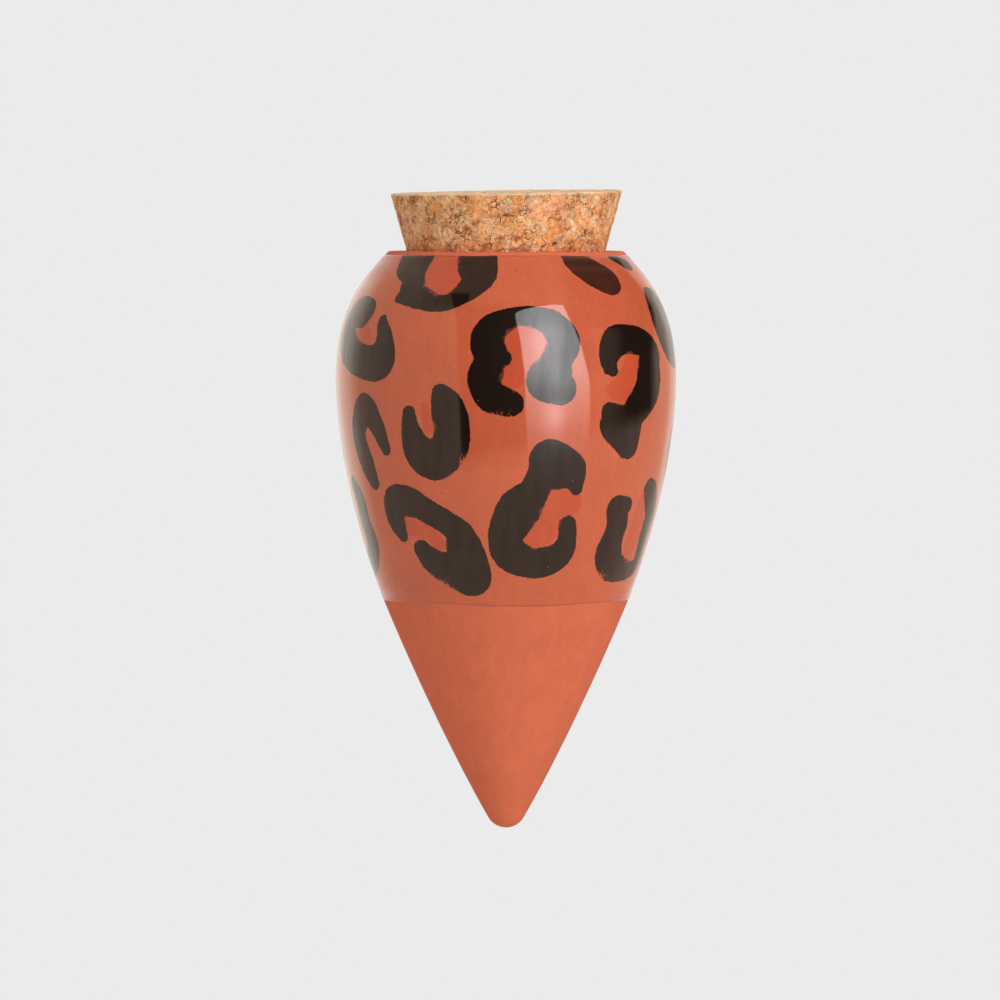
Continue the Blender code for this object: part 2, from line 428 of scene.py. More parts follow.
SPOTS = [
    # Under the lip, left: a C that opens upwards.
    Spot(0, [[(-19.6, 78.6, 5.3), (-20.7, 76.4, 4.9), (-20.9, 73.8, 3.2), (-21.2, 71.4, 3.4), (-21.4, 69.6, 3.0),
              (-19.0, 68.6, 2.8), (-15.6, 67.4, 2.1), (-12.2, 68.2, 2.2), (-8.6, 70.5, 2.9), (-6.1, 73.5, 3.9),
              (-6.5, 76.4, 4.6), (-6.4, 79.0, 4.2)],
             [(-22.6, 69.3, 2.5), (-24.2, 68.6, 1.3)]],
         [[(-14.2, 77.0, 3.0), (-14.4, 72.8, 4.7)]]),
    # Left edge, upper: a ring, open at the upper right.
    Spot(0, [[(-32.6, 62.9, 1.3), (-31.4, 65.0, 2.2), (-31.0, 66.4, 2.4), (-33.2, 66.8, 2.4), (-35.6, 63.4, 2.8),
              (-36.1, 60.0, 4.8), (-35.2, 56.4, 4.2), (-32.4, 54.2, 3.9), (-28.6, 54.4, 4.3), (-27.6, 58.6, 2.9),
              (-28.0, 62.8, 1.6), (-27.9, 63.8, 1.2)],
             [(-34.6, 64.0, 2.0), (-33.4, 63.6, 1.8)]],
         [[(-33.0, 61.0, 3.2), (-32.0, 59.5, 2.8)]]),
    # Front, centre: a C that opens downwards.
    Spot(0, [[(-3.2, 55.2, 3.8), (-4.25, 58.2, 3.9), (-3.9, 60.6, 3.6), (-1.8, 62.6, 3.1), (2.0, 64.3, 2.35),
              (5.0, 64.5, 2.4), (8.6, 63.7, 2.9), (11.2, 62.0, 3.5), (13.1, 59.0, 4.0), (12.5, 56.6, 3.8),
              (11.3, 54.0, 3.7), (10.6, 51.6, 4.6), (9.0, 49.7, 4.4), (12.4, 48.1, 3.8)],
             [(-0.6, 55.0, 1.9), (-3.2, 54.4, 2.6), (-4.5, 51.8, 3.9), (-4.8, 49.2, 3.7), (-3.4, 46.4, 3.7),
              (-0.4, 45.1, 3.3), (1.2, 44.7, 2.9)]],
         [[(4.4, 58.6, 4.9), (3.4, 53.6, 3.5), (1.4, 50.4, 2.5)]]),
    # Right: a hook.
    Spot(0, [[(24.1, 52.1, 1.3), (23.5, 53.7, 2.1), (23.4, 55.6, 2.8), (24.6, 58.6, 3.5), (27.4, 59.3, 3.4),
              (30.6, 58.6, 3.4), (32.9, 56.2, 3.5), (32.5, 53.4, 4.3), (32.6, 50.6, 4.9), (32.1, 47.6, 4.8),
              (30.6, 45.0, 4.3), (28.9, 42.4, 3.9), (27.9, 38.8, 4.1), (27.7, 35.5, 3.4)],
             [(23.0, 52.3, 1.1), (24.6, 52.0, 1.1)],
             [(23.6, 42.6, 2.5), (26.4, 42.3, 2.1)],
             [(24.4, 40.0, 3.9), (26.0, 37.6, 3.6), (27.6, 35.4, 3.3)]],
         [[(28.6, 53.6, 2.6), (27.0, 49.6, 2.6), (26.4, 47.6, 2.6), (24.6, 47.8, 2.2)]]),
    # Under the lip, right: a leaf of thin paint.
    Spot(0, [[(13.6, 77.8, 1.4), (17.0, 75.9, 3.7), (20.4, 74.0, 4.4), (22.6, 72.9, 4.3)]], thin=1.0),
    # Under the lip, right edge: a small leaf.
    Spot(0, [[(23.4, 77.6, 0.6), (25.2, 77.0, 1.3), (26.8, 76.3, 1.8), (27.5, 76.1, 1.7)]]),
    # Right side, upper: a C that opens upwards.
    Spot(90, [[(-11.8, 69.3, 2.3), (-11.6, 66.8, 4.3), (-10.2, 62.8, 6.4), (-7.4, 59.5, 6.4), (-3.0, 57.4, 4.6),
               (2.2, 56.4, 3.6), (6.8, 59.2, 3.6), (8.0, 63.2, 3.2), (6.4, 66.8, 2.4)],
              [(-11.8, 69.2, 2.3), (-8.2, 68.4, 3.0)],
              [(-6.6, 66.0, 3.6), (-3.6, 62.6, 3.8)]],
         [[(1.8, 62.6, 3.4), (2.4, 65.8, 2.4)]]),
    # Left of centre: a U.
    Spot(0, [[(-22.0, 42.6, 1.7), (-21.6, 38.6, 2.6), (-19.8, 34.0, 4.0), (-16.6, 31.7, 4.4), (-13.2, 34.2, 4.5),
              (-12.3, 38.6, 4.3), (-13.2, 43.4, 4.1), (-14.8, 47.0, 2.2)]],
         [[(-18.4, 44.0, 1.2), (-17.6, 39.6, 1.5)]]),
    # Left edge, middle: an upturned V.
    Spot(0, [[(-27.2, 34.4, 1.5), (-29.4, 39.8, 2.6), (-32.0, 43.6, 3.5), (-33.4, 38.4, 3.1), (-31.6, 31.4, 3.0),
              (-29.8, 27.0, 1.9)]]),
    # Lower left: a wide hook.
    Spot(0, [[(-23.4, 14.9, 1.6), (-25.0, 18.6, 2.9), (-25.0, 22.4, 3.7), (-21.9, 22.5, 3.6), (-18.4, 20.6, 3.0),
              (-13.0, 17.4, 3.0), (-10.4, 15.0, 3.4), (-9.4, 11.6, 4.3), (-7.9, 7.4, 4.3), (-7.8, 4.9, 4.1),
              (-12.2, 6.8, 4.0), (-16.4, 8.9, 3.2), (-18.9, 11.6, 2.4)]],
         [[(-21.8, 16.8, 2.0), (-17.6, 15.6, 1.8), (-15.0, 12.8, 1.6)]]),
    # Left side, lower: a ring, open at the top.
    Spot(270, [[(9.6, 26.6, 2.2), (11.2, 23.2, 3.4), (10.9, 18.2, 3.4), (11.4, 13.6, 3.5), (8.4, 10.0, 3.1),
                (3.0, 8.4, 3.2), (-2.6, 9.4, 3.7), (-6.0, 13.6, 3.6), (-5.2, 18.8, 3.2), (-1.4, 22.4, 2.6),
                (2.0, 23.4, 1.6)]],
         [[(2.8, 15.2, 4.0), (5.2, 18.8, 3.0)]]),
    # Lower centre: a wide C with a lobe on top.
    Spot(0, [[(16.0, 25.3, 1.4), (15.2, 28.2, 3.0), (13.8, 30.0, 4.4), (9.6, 32.6, 4.0), (8.6, 29.0, 3.7),
              (6.0, 24.2, 3.6), (3.4, 21.2, 4.9), (1.2, 17.8, 4.6), (-0.1, 14.4, 3.9), (0.9, 10.8, 4.0),
              (4.6, 8.9, 3.7), (8.6, 8.8, 3.6), (12.4, 10.8, 3.1), (13.9, 14.4, 2.3), (13.9, 17.2, 2.2)],
             [(11.6, 28.8, 3.7), (14.0, 29.4, 4.0)]],
         [[(14.6, 22.2, 2.9), (11.4, 21.8, 3.2), (8.4, 15.6, 3.3), (5.4, 14.2, 1.8)]]),
    # Lower right: a narrow ring.
    Spot(0, [[(27.2, 21.6, 2.2), (24.9, 21.3, 2.6), (25.4, 18.0, 3.5), (24.4, 14.4, 3.4), (23.4, 11.0, 4.2),
              (24.0, 8.1, 3.8), (27.0, 6.9, 2.4), (29.3, 8.2, 2.2), (30.5, 12.0, 2.7), (31.6, 16.0, 3.0),
              (32.8, 20.0, 3.5), (32.9, 23.6, 3.4), (32.4, 25.3, 2.6)]],
         [[(30.8, 22.6, 1.8), (29.4, 16.0, 2.8), (28.0, 11.4, 2.6)]]),
    # Right side, middle: a C that opens upwards.
    Spot(90, [[(1.0, 41.2, 2.4), (-2.4, 38.6, 3.0), (-3.4, 34.0, 3.0), (-1.6, 29.6, 3.4), (3.4, 27.2, 3.8),
               (8.6, 29.0, 3.6), (11.2, 33.4, 3.0), (10.6, 38.4, 2.6), (7.4, 41.4, 2.0)]],
         [[(3.8, 34.6, 3.6), (4.4, 37.6, 3.0)]]),
    # Right side, lower: a cup.
    Spot(118, [[(-6.4, 21.6, 2.2), (-8.4, 18.0, 3.0), (-8.4, 12.6, 3.5), (-4.6, 8.4, 3.8), (1.4, 7.4, 3.4),
                (6.6, 9.8, 3.2), (8.4, 14.6, 2.9), (7.0, 19.4, 2.6)]],
         [[(-1.6, 14.8, 3.6), (-0.6, 18.6, 2.8)]]),
    # Right side, under the lip: a C that opens to the left.
    Spot(124, [[(-7.4, 70.4, 2.2), (-8.2, 73.6, 2.6), (-5.0, 76.4, 2.8), (0.4, 77.2, 2.6), (5.2, 75.4, 3.2),
                (7.0, 71.8, 3.4), (4.6, 68.6, 3.2), (0.2, 67.4, 2.2)]],
         [[(-1.2, 72.4, 3.4), (-3.6, 70.2, 1.6)]]),
    # Back right, upper: a ring, open at the top.
    Spot(132, [[(-7.0, 59.6, 2.2), (-8.6, 55.2, 3.3), (-7.2, 50.2, 4.0), (-2.2, 47.4, 3.6), (3.2, 48.2, 3.3),
                (7.2, 51.8, 3.8), (7.6, 57.0, 3.4), (4.2, 60.8, 2.7), (0.4, 61.4, 1.6)]],
         [[(-1.4, 55.2, 3.8), (-2.4, 58.2, 2.2)]]),
    # Back right, middle: a cup.
    Spot(141, [[(9.6, 38.6, 2.2), (8.8, 34.2, 3.4), (5.6, 30.4, 4.2), (0.6, 28.8, 4.0), (-4.6, 30.6, 3.8),
                (-7.0, 34.8, 2.8), (-6.2, 38.4, 1.6)]],
         [[(1.0, 35.6, 2.8), (2.4, 37.4, 1.6)]]),
    # Back, under the lip: a C that opens upwards.
    Spot(170, [[(-7.6, 77.0, 1.8), (-7.2, 73.2, 2.7), (-3.4, 69.8, 3.4), (2.0, 69.2, 3.2), (6.0, 71.6, 3.0),
                (7.4, 75.4, 2.6), (6.4, 79.0, 2.4)]],
         [[(0.2, 74.4, 3.4), (0.2, 77.2, 3.0)]]),
    # Back, upper: a C that opens downwards.
    Spot(177, [[(7.8, 45.0, 2.4), (10.0, 49.0, 3.4), (9.8, 54.4, 3.6), (6.2, 58.2, 3.2), (0.8, 59.6, 3.0),
                (-4.8, 57.8, 3.6), (-8.0, 53.4, 3.8), (-7.6, 48.4, 3.4), (-4.0, 44.8, 3.0), (-0.8, 44.4, 2.0)]],
         [[(0.8, 52.6, 4.4), (2.2, 48.4, 3.2)]]),
    # Back, middle: an upturned V.
    Spot(187, [[(-7.0, 24.6, 1.7), (-7.8, 29.4, 2.7), (-5.2, 33.8, 3.3), (-1.0, 34.4, 3.0), (2.4, 30.8, 3.4),
                (4.2, 25.4, 3.4), (6.4, 21.4, 2.2)]]),
    # Back, lower: a ring, open at the upper left.
    Spot(165, [[(-8.4, 18.2, 2.1), (-9.0, 13.4, 3.1), (-5.8, 8.6, 3.8), (0.0, 6.8, 3.6), (5.6, 8.6, 3.7),
                (8.2, 13.4, 3.4), (6.6, 18.0, 3.0), (2.2, 20.6, 2.3), (-1.4, 20.4, 1.4)]],
         [[(-0.6, 14.0, 4.0), (-3.4, 17.0, 2.2)]]),
    # Back left, under the lip: a small leaf of thin paint.
    Spot(212, [[(-5.0, 71.0, 1.3), (-1.8, 73.0, 2.6), (2.4, 74.8, 2.5), (5.6, 76.4, 1.3)]], thin=1.0),
    # Left side, under the lip: a C that opens to the right.
    Spot(253, [[(8.0, 71.6, 2.0), (7.8, 74.6, 2.6), (3.6, 77.0, 2.7), (-2.2, 77.0, 2.8), (-6.6, 74.0, 3.2),
                (-6.6, 69.6, 3.1), (-2.6, 67.0, 2.8), (1.6, 67.2, 1.9)]],
         [[(0.6, 72.2, 3.4), (3.4, 70.4, 1.8)]]),
    # Back left, upper: a hook.
    Spot(226, [[(-6.4, 49.6, 1.8), (-7.8, 54.0, 2.8), (-5.4, 58.4, 3.5), (-0.2, 60.8, 3.5), (5.2, 59.4, 3.8),
                (8.2, 55.0, 3.8), (7.2, 49.8, 3.6), (3.0, 46.2, 3.4), (-1.6, 45.6, 2.2)]],
         [[(0.4, 53.8, 3.9), (-1.4, 50.8, 2.6)]]),
    # Left side, upper: a long leaf.
    Spot(259, [[(-1.6, 62.8, 1.4), (0.6, 59.4, 2.7), (0.4, 55.0, 3.0), (-1.4, 51.4, 1.7)]]),
    # Back left, middle: a cup.
    Spot(222, [[(-8.2, 36.6, 2.0), (-7.8, 31.8, 3.3), (-4.0, 27.8, 3.9), (1.6, 26.8, 3.7), (6.4, 29.8, 3.6),
                (7.6, 34.8, 3.0), (5.6, 38.4, 1.9)]],
         [[(-0.4, 33.8, 3.2), (0.6, 36.6, 2.2)]]),
    # Left side, middle: an upturned V.
    Spot(261, [[(6.0, 30.6, 1.6), (7.2, 35.0, 2.7), (4.6, 39.8, 3.2), (0.0, 42.6, 3.4), (-4.4, 40.2, 3.2),
                (-6.2, 35.0, 3.0), (-5.4, 30.2, 2.1)]],
         [[(1.0, 35.8, 2.4), (1.4, 33.0, 1.5)]]),
    # Back left, lower: a cup.
    Spot(220, [[(7.6, 18.8, 2.0), (8.2, 14.4, 3.0), (5.2, 9.6, 3.6), (-0.4, 7.4, 3.7), (-6.0, 9.0, 3.4),
                (-8.6, 13.6, 2.9), (-7.6, 17.8, 2.0)]],
         [[(-0.4, 13.8, 3.4), (0.6, 16.8, 2.2)]]),
]

# Places where the brush ran dry, as azimuth it is seen from, across, up and radius.
DRY_PLACES = [
    (0, -0.5, 44.0, 4.0),
    (0, -9.5, 32.0, 3.0),
    (0, -14.0, 4.0, 5.0),
    (0, 22.0, 6.0, 4.0),
    (118, 6.0, 10.0, 4.0),
    (177, -6.0, 45.0, 4.5),
    (222, 6.5, 30.0, 4.0),
    (253, -2.0, 67.0, 3.5),
]

FRONT = 0
EYE_ROUNDS = 5
PAINT_REACH = 12.0
DAB_SPACING = 0.35


def along_stroke(dabs):
    """A smooth run of dabs through the given ones."""
    knots = np.array(dabs, float)
    if len(knots) == 1:
        return knots
    padded = np.vstack([2 * knots[0] - knots[1], knots, 2 * knots[-1] - knots[-2]])
    run = []
    for before, start, end, after in zip(padded, padded[1:], padded[2:], padded[3:]):
        count = max(2, int(np.linalg.norm((end - start)[:2]) / DAB_SPACING) + 1)
        share = np.linspace(0, 1, count, endpoint=False)[:, None]
        run.append(
            0.5
            * (
                2 * start
                + (end - before) * share
                + (2 * before - 5 * start + 4 * end - after) * share**2
                + (3 * start - before - 3 * end + after) * share**3
            )
        )
    run.append(knots[-1:])
    return np.vstack(run)


class Eye(NamedTuple):
    """Where the front's spots are seen from: to the right of the axis, before it and up, in millimetres."""

    side: float
    distance: float
    height: float


def on_the_wall(across, up, seen_from, outer_rows, eye):
    """Places on an elevation, in millimetres, as points on the vessel's wall. The front's elevation is drawn
    in the plane of the axis as the eye sees it, and the others are plain ones."""
    nearer = np.zeros(len(up))
    for _ in range(EYE_ROUNDS if seen_from == FRONT else 1):
        share = 1 - nearer / eye.distance
        side = eye.side + (across - eye.side) * share
        height = eye.height + (up - eye.height) * share
        radius = np.interp(height, outer_rows[:, 1] / MM, outer_rows[:, 0] / MM)
        turn = np.arcsin(np.clip(side / radius, -1, 1))
        nearer = radius * np.cos(turn)
    turn = turn + math.radians(seen_from)
    return np.column_stack([radius * np.sin(turn), -radius * np.cos(turn), height])


def paint_distance(points, stroke, seen_from, outer_rows, eye):
    """Which points are near a stroke, and how far each is outside its edge, in millimetres."""
    dabs = along_stroke(stroke)
    centres = on_the_wall(dabs[:, 0], dabs[:, 1], seen_from, outer_rows, eye)
    low = centres.min(0) - PAINT_REACH
    high = centres.max(0) + PAINT_REACH
    near = np.where(((points > low) & (points < high)).all(1))[0]
    apart = np.linalg.norm(points[near][:, None, :] - centres[None], axis=2) - dabs[:, 2]
    return near, apart.min(1)


def paint_spots(mesh, outer_rows, eye):
    """Stores how far each point is outside the black and the coral paint, and where paint is dry or thin."""
    count = len(mesh.vertices)
    places = np.zeros(count * 3, np.float32)
    mesh.vertices.foreach_get("co", places)
    points = places.reshape(-1, 3).astype(float) / MM
    fields = {"black": np.full(count, PAINT_REACH), "coral": np.full(count, PAINT_REACH)}
    thin = np.zeros(count)
    for spot in SPOTS:
        for name, strokes in (("black", spot.black), ("coral", spot.coral)):
            for stroke in strokes:
                near, apart = paint_distance(points, stroke, spot.seen_from, outer_rows, eye)
                closer = apart < fields[name][near]
                fields[name][near] = np.minimum(fields[name][near], apart)
                if name == "black":
                    thin[near[closer]] = spot.thin
    dry = np.zeros(count)
    for seen_from, across, up, radius in DRY_PLACES:
        centre = on_the_wall(np.array([across]), np.array([up]), seen_from, outer_rows, eye)
        dry = np.maximum(dry, 1 - np.linalg.norm(points - centre, axis=1) / radius)
    for name, values in (*fields.items(), ("thin", thin), ("dry", dry)):
        attribute = mesh.attributes.new(name, "FLOAT", "POINT")
        attribute.data.foreach_set("value", values.astype(np.float32))


class Wiring:
    """Adds nodes to one tree. What feeds an input is a plain value or another node's output."""

    def __init__(self, tree):
        self.tree = tree

    @staticmethod
    def socket(sockets, key):
        """A socket by its number, or the one in use by its name."""
        if isinstance(key, int):
            return sockets[key]
        return next(socket for socket in sockets if socket.name == key and socket.enabled)

    def feed(self, node, key, value):
        """Joins an output to an input, or sets the input's own value."""
        target = self.socket(node.inputs, key)
        if isinstance(value, bpy.types.NodeSocket):
            self.tree.links.new(value, target)
        else:
            target.default_value = value

    def node(self, kind, inputs=None, output=0, **settings):
        """Adds a node and returns one of its outputs."""
        node = self.tree.nodes.new(kind)
        for name, value in settings.items():
            setattr(node, name, value)
        for key, value in (inputs or {}).items():
            self.feed(node, key, value)
        return self.socket(node.outputs, output) if node.outputs else node

    def chain(self, operation, values):
        """Takes values together, one after another."""
        whole = values[0]
        for value in values[1:]:
            whole = self.maths(operation, whole, value)
        return whole

    def sum(self, *values):
        """Adds values up."""
        return self.chain("ADD", values)

    def times(self, *values):
        """Multiplies values."""
        return self.chain("MULTIPLY", values)

    def largest(self, *values):
        """The largest of some values."""
        return self.chain("MAXIMUM", values)

    def minus(self, first, second):
        """Takes the second value from the first."""
        return self.maths("SUBTRACT", first, second)

    def maths(self, operation, *values):
        """One step of arithmetic."""
        return self.node("ShaderNodeMath", dict(enumerate(values)), operation=operation)

    def vector_maths(self, operation, *values, output=0):
        """One step of arithmetic on vectors."""
        return self.node("ShaderNodeVectorMath", dict(enumerate(values)), output=output, operation=operation)

    def scaled(self, vector, scale):
        """Makes a vector longer or shorter."""
        return self.node("ShaderNodeVectorMath", {0: vector, "Scale": scale}, operation="SCALE")

    def dot(self, first, second):
        """How far one vector reaches along another."""
        return self.vector_maths("DOT_PRODUCT", first, second, output="Value")

    def split(self, vector):
        """The three parts of a vector."""
        parts = self.tree.nodes.new("ShaderNodeSeparateXYZ")
        self.feed(parts, 0, vector)
        return tuple(parts.outputs)

    def wobbled(self, vector, lumps, reach):
        """Moves places about by soft noise."""
        wobble = self.vector_maths("SUBTRACT", self.noise(vector, lumps, detail=3.0, output=1), MIDDLE)
        return self.vector_maths("ADD", vector, self.vector_maths("MULTIPLY", wobble, (reach,) * 3))

    def ramp(self, value, low, high, to_low=0.0, to_high=1.0):
        """Carries a value smoothly from one range to another and holds it there."""
        values = {"Value": value, "From Min": low, "From Max": high, "To Min": to_low, "To Max": to_high}
        return self.node("ShaderNodeMapRange", values, output="Result", interpolation_type="SMOOTHSTEP")

    def fall(self, value, low, high, to_low=1.0):
        """Carries a value smoothly down to 0, from 1 or from another number."""
        return self.ramp(value, low, high, to_low, 0.0)

    def blend(self, factor, first, second):
        """Mixes two colours."""
        values = {"Factor": factor, "A": first, "B": second}
        return self.node("ShaderNodeMix", values, output="Result", data_type="RGBA")

    def over(self, below, colour, mask, strength=None):
        """Lays a plain colour over another where a mask says, at full strength or less."""
        factor = mask if strength is None else self.times(mask, strength)
        return self.blend(factor, below, with_alpha(colour))

    def noise(self, vector, scale, detail=2.0, roughness=0.5, output=0):
        """Soft noise at so many lumps a metre."""
        values = {"Vector": vector, "Scale": scale, "Detail": detail, "Roughness": roughness}
        return self.node("ShaderNodeTexNoise", values, output=output, noise_dimensions="3D")

    def cells(self, vector, scale, feature="F1", output="Distance"):
        """Random cells at so many a metre."""
        values = {"Vector": vector, "Scale": scale, "Randomness": 1.0}
        return self.node("ShaderNodeTexVoronoi", values, output, voronoi_dimensions="3D", feature=feature)

    def attribute(self, name):
        """A number stored on the piece's points, in a material."""
        return self.node("ShaderNodeAttribute", output="Fac", attribute_name=name)

    def named(self, name):
        """A number stored on the piece's points, in a shape tree."""
        return self.node("GeometryNodeInputNamedAttribute", {"Name": name}, data_type="FLOAT")

    def stored(self, geometry, name, value):
        """Stores a number on the piece's points, in a shape tree."""
        values = {"Geometry": geometry, "Name": name, "Value": value}
        return self.node("GeometryNodeStoreNamedAttribute", values, data_type="FLOAT", domain="POINT")

    def group(self, tree, inputs):
        """Places a shared group."""
        kind = "GeometryNodeGroup" if tree.bl_idname == "GeometryNodeTree" else "ShaderNodeGroup"
        return self.node(kind, inputs, node_tree=tree)

    def end(self, shader):
        """Makes a shader the one that the material shows."""
        self.feed(self.tree.nodes.new("ShaderNodeOutputMaterial"), "Surface", shader)


# The middle of a random vector, and what lays a vector level when it is multiplied by it.
MIDDLE = (0.5, 0.5, 0.5)
LEVEL = (1.0, 1.0, 0.0)

SOCKET_KINDS = {
    "geometry": "NodeSocketGeometry",
    "number": "NodeSocketFloat",
    "count": "NodeSocketInt",
    "vector": "NodeSocketVector",
    "material": "NodeSocketMaterial",
}

# What every turned shape takes.
TURNED = {"Profile": "geometry", "Around": "count"}


def new_tree(name, kind, inputs, outputs):
    """An empty tree with named inputs and outputs, its wiring, its input node and its output node."""
    tree = bpy.data.node_groups.new(name, kind)
    for in_out, sockets in (("INPUT", inputs), ("OUTPUT", outputs)):
        for label, socket_kind in sockets.items():
            tree.interface.new_socket(name=label, in_out=in_out, socket_type=SOCKET_KINDS[socket_kind])
    return tree, Wiring(tree), tree.nodes.new("NodeGroupInput").outputs, tree.nodes.new("NodeGroupOutput")


def shape_tree(name, numbers):
    """An empty shape tree, which takes a profile, the faces round it, named numbers and a material."""
    inputs = {**TURNED, **dict.fromkeys(numbers, "number"), "Material": "material"}
    return new_tree(name, "GeometryNodeTree", inputs, {"Geometry": "geometry"})


def effect_tree(name, numbers, output):
    """An empty shared effect, which takes a place and named numbers."""
    inputs = {"Vector": "vector", **dict.fromkeys(numbers, "number")}
    return new_tree(name, "ShaderNodeTree", inputs, {output: "number"})


def turned_group():
    """Shared shape group: turns a profile, given as the points of a mesh, about the upright axis."""
    outputs = {"Geometry": "geometry"}
    tree, wire, given, result = new_tree("turned_on_the_wheel", "GeometryNodeTree", TURNED, outputs)
    rows = wire.node("GeometryNodeAttributeDomainSize", {"Geometry": given["Profile"]}, output="Point Count")
    grid = tree.nodes.new("GeometryNodeMeshGrid")
    seams = wire.sum(given["Around"], 1.0)
    for key, value in {"Size X": 1.0, "Size Y": 1.0, "Vertices X": rows, "Vertices Y": seams}.items():
        wire.feed(grid, key, value)
    along, around, _ = wire.split(grid.outputs["UV Map"])
    row = wire.maths("ROUND", wire.times(along, wire.minus(rows, 1.0)))
    angle = wire.times(around, FULL_TURN)

    def sampled(value, data_type):
        values = {"Geometry": given["Profile"], "Value": value, "Index": row}
        return wire.node("GeometryNodeSampleIndex", values, "Value", data_type=data_type, domain="POINT")

    radius, _, height = wire.split(sampled(wire.node("GeometryNodeInputPosition"), "FLOAT_VECTOR"))
    outside = sampled(wire.named("outside"), "FLOAT")
    right = wire.times(radius, wire.maths("SINE", angle))
    back = wire.times(radius, wire.times(wire.maths("COSINE", angle), -1.0))
    turned = wire.node("ShaderNodeCombineXYZ", {"X": right, "Y": back, "Z": height})
    stored = wire.stored(grid.outputs["Mesh"], "outside", outside)
    placed = wire.node("GeometryNodeSetPosition", {"Geometry": stored, "Position": turned})
    closed = wire.node("GeometryNodeMergeByDistance", {"Geometry": placed, "Distance": SEAM_REACH})
    wire.feed(result, 0, wire.node("GeometryNodeFlipFaces", {"Mesh": closed}))
    return tree


def finish_tree(wire, given, geometry, result):
    """Ends a shape tree: smooth faces, no instances, and the piece's material."""
    smooth = wire.node("GeometryNodeSetShadeSmooth", {"Geometry": geometry, "Shade Smooth": True})
    real = wire.node("GeometryNodeRealizeInstances", {"Geometry": smooth})
    coated = {"Geometry": real, "Material": given["Material"]}
    wire.feed(result, 0, wire.node("GeometryNodeSetMaterial", coated))


# The sizes that feed the two shape trees, by their inputs' labels.
GLAZE_NUMBERS = ("Glaze Foot", "Glaze Top", "Glaze Sag", "Glaze Waver", "Glaze Bead")
VESSEL_NUMBERS = (*GLAZE_NUMBERS, "Unevenness", "Lip Height")
CORK_NUMBERS = ("Rise To The Right", "Rise To The Back", "Taper", "Crack Depth", "Pit Depth", "Step")

# The glaze's edges wander by noise, moved so far and with so many lumps round the vessel.
FOOT_EDGE_NOISE = (3.7, 1.6)
TOP_EDGE_NOISE = (8.2, 2.4)

# How far inside the glaze's nearer edge, in millimetres, the bead rises and falls, and a number for no glaze.
BEAD_RISE = (-0.05, 0.32)
BEAD_FALL = (0.45, 2.6)
UNGLAZED = -100.0

# The wall's unevenness: lumps a metre, shares, and how far below the lip it starts and is full.
DRIFT_LUMPS = 38.0
DRIFT_SHARE = 0.85
RIPPLE_LUMPS = (24.0, 24.0, 210.0)
RIPPLE_SHARE = 0.15
TRUE_LIP = (0.8 * MM, 5.0 * MM)


def vessel_tree(turned):
    """Shape tree of the vessel: turned wall, slight unevenness, and a bead along the glaze's two edges."""
    tree, wire, given, result = shape_tree("clay_vessel_shape", VESSEL_NUMBERS)
    wall = wire.group(turned, {"Profile": given["Profile"], "Around": given["Around"]})
    position = wire.node("GeometryNodeInputPosition")
    height = wire.split(position)[2]
    bearing = wire.vector_maths("NORMALIZE", wire.vector_maths("MULTIPLY", position, LEVEL))
    outside = wire.named("outside")

    def wander(shift, lumps):
        moved = wire.vector_maths("ADD", bearing, (0.0, 0.0, shift))
        centred = wire.minus(wire.noise(moved, lumps, detail=3.0), 0.5)
        return wire.times(centred, 2.0, given["Glaze Waver"])

    facing_sag = wire.dot(bearing, tuple(towards(SAG_AZIMUTH, 0.0)))
    sag = wire.times(wire.ramp(facing_sag, math.cos(SAG_REACH), 1.0), given["Glaze Sag"])
    foot_edge = wire.minus(wire.sum(given["Glaze Foot"], wander(*FOOT_EDGE_NOISE)), sag)
    above_foot = wire.minus(height, foot_edge)
    below_top = wire.minus(wire.sum(given["Glaze Top"], wander(*TOP_EDGE_NOISE)), height)
    inside_edge = wire.times(wire.maths("MINIMUM", above_foot, below_top), 1 / MM)
    glaze = wire.sum(inside_edge, wire.times(wire.minus(1.0, outside), UNGLAZED))
    stored = wire.stored(wall, "glaze", glaze)
    bead = wire.times(wire.ramp(glaze, *BEAD_RISE), wire.fall(glaze, *BEAD_FALL), given["Glaze Bead"])
    drift = wire.noise(position, DRIFT_LUMPS)
    ripple = wire.noise(wire.vector_maths("MULTIPLY", position, RIPPLE_LUMPS), 1.0, detail=1.0)
    stray = wire.sum(wire.times(drift, DRIFT_SHARE), wire.times(ripple, RIPPLE_SHARE))
    away_from_lip = wire.ramp(wire.minus(given["Lip Height"], height), *TRUE_LIP)
    held = wire.times(away_from_lip, outside, given["Unevenness"])
    shift = wire.sum(bead, wire.times(stray, held, -1.0))
    offset = wire.scaled(wire.node("GeometryNodeInputNormal"), shift)
    uneven = wire.node("GeometryNodeSetPosition", {"Geometry": stored, "Offset": offset})
    finish_tree(wire, given, uneven, result)
    return tree


class Granules(NamedTuple):
    """Outputs that say where a cork's granules, cracks and pits are. Edge is the distance to the granule's
    edge in millimetres, and loose is 1 where the granules are poorly bound."""

    tone: object
    kind: object
    edge: object
    loose: object
    crack: object
    pit: object


# The granules' own noise, in lumps a metre, and how far it bends them.
GRANULE_LUMPS = 300.0
GRANULE_BEND = 3.6 * MM

# A large granule whose random number is above this is broken into crumbs.
WHOLE_GRANULES = 0.45

# A granule of this kind lies level with the cut.
LEVEL_KIND = 0.7

# Where granules are poorly bound, as a range of noise, and how wide the cracks are, in millimetres.
LOOSE_PATCHES = (0.44, 0.60)
CRACK_WIDTH = (0.02, 0.22)

# Pits: their spacing, the noise that sizes them, and their radii and soft edge in spacings.
PIT_SPACING = 5.2 * MM
PIT_LUMPS = 150.0
PIT_PATCHES = (0.42, 0.70)
PIT_RADII = (0.02, 0.17)
PIT_EDGE = (-0.04, 0.02)


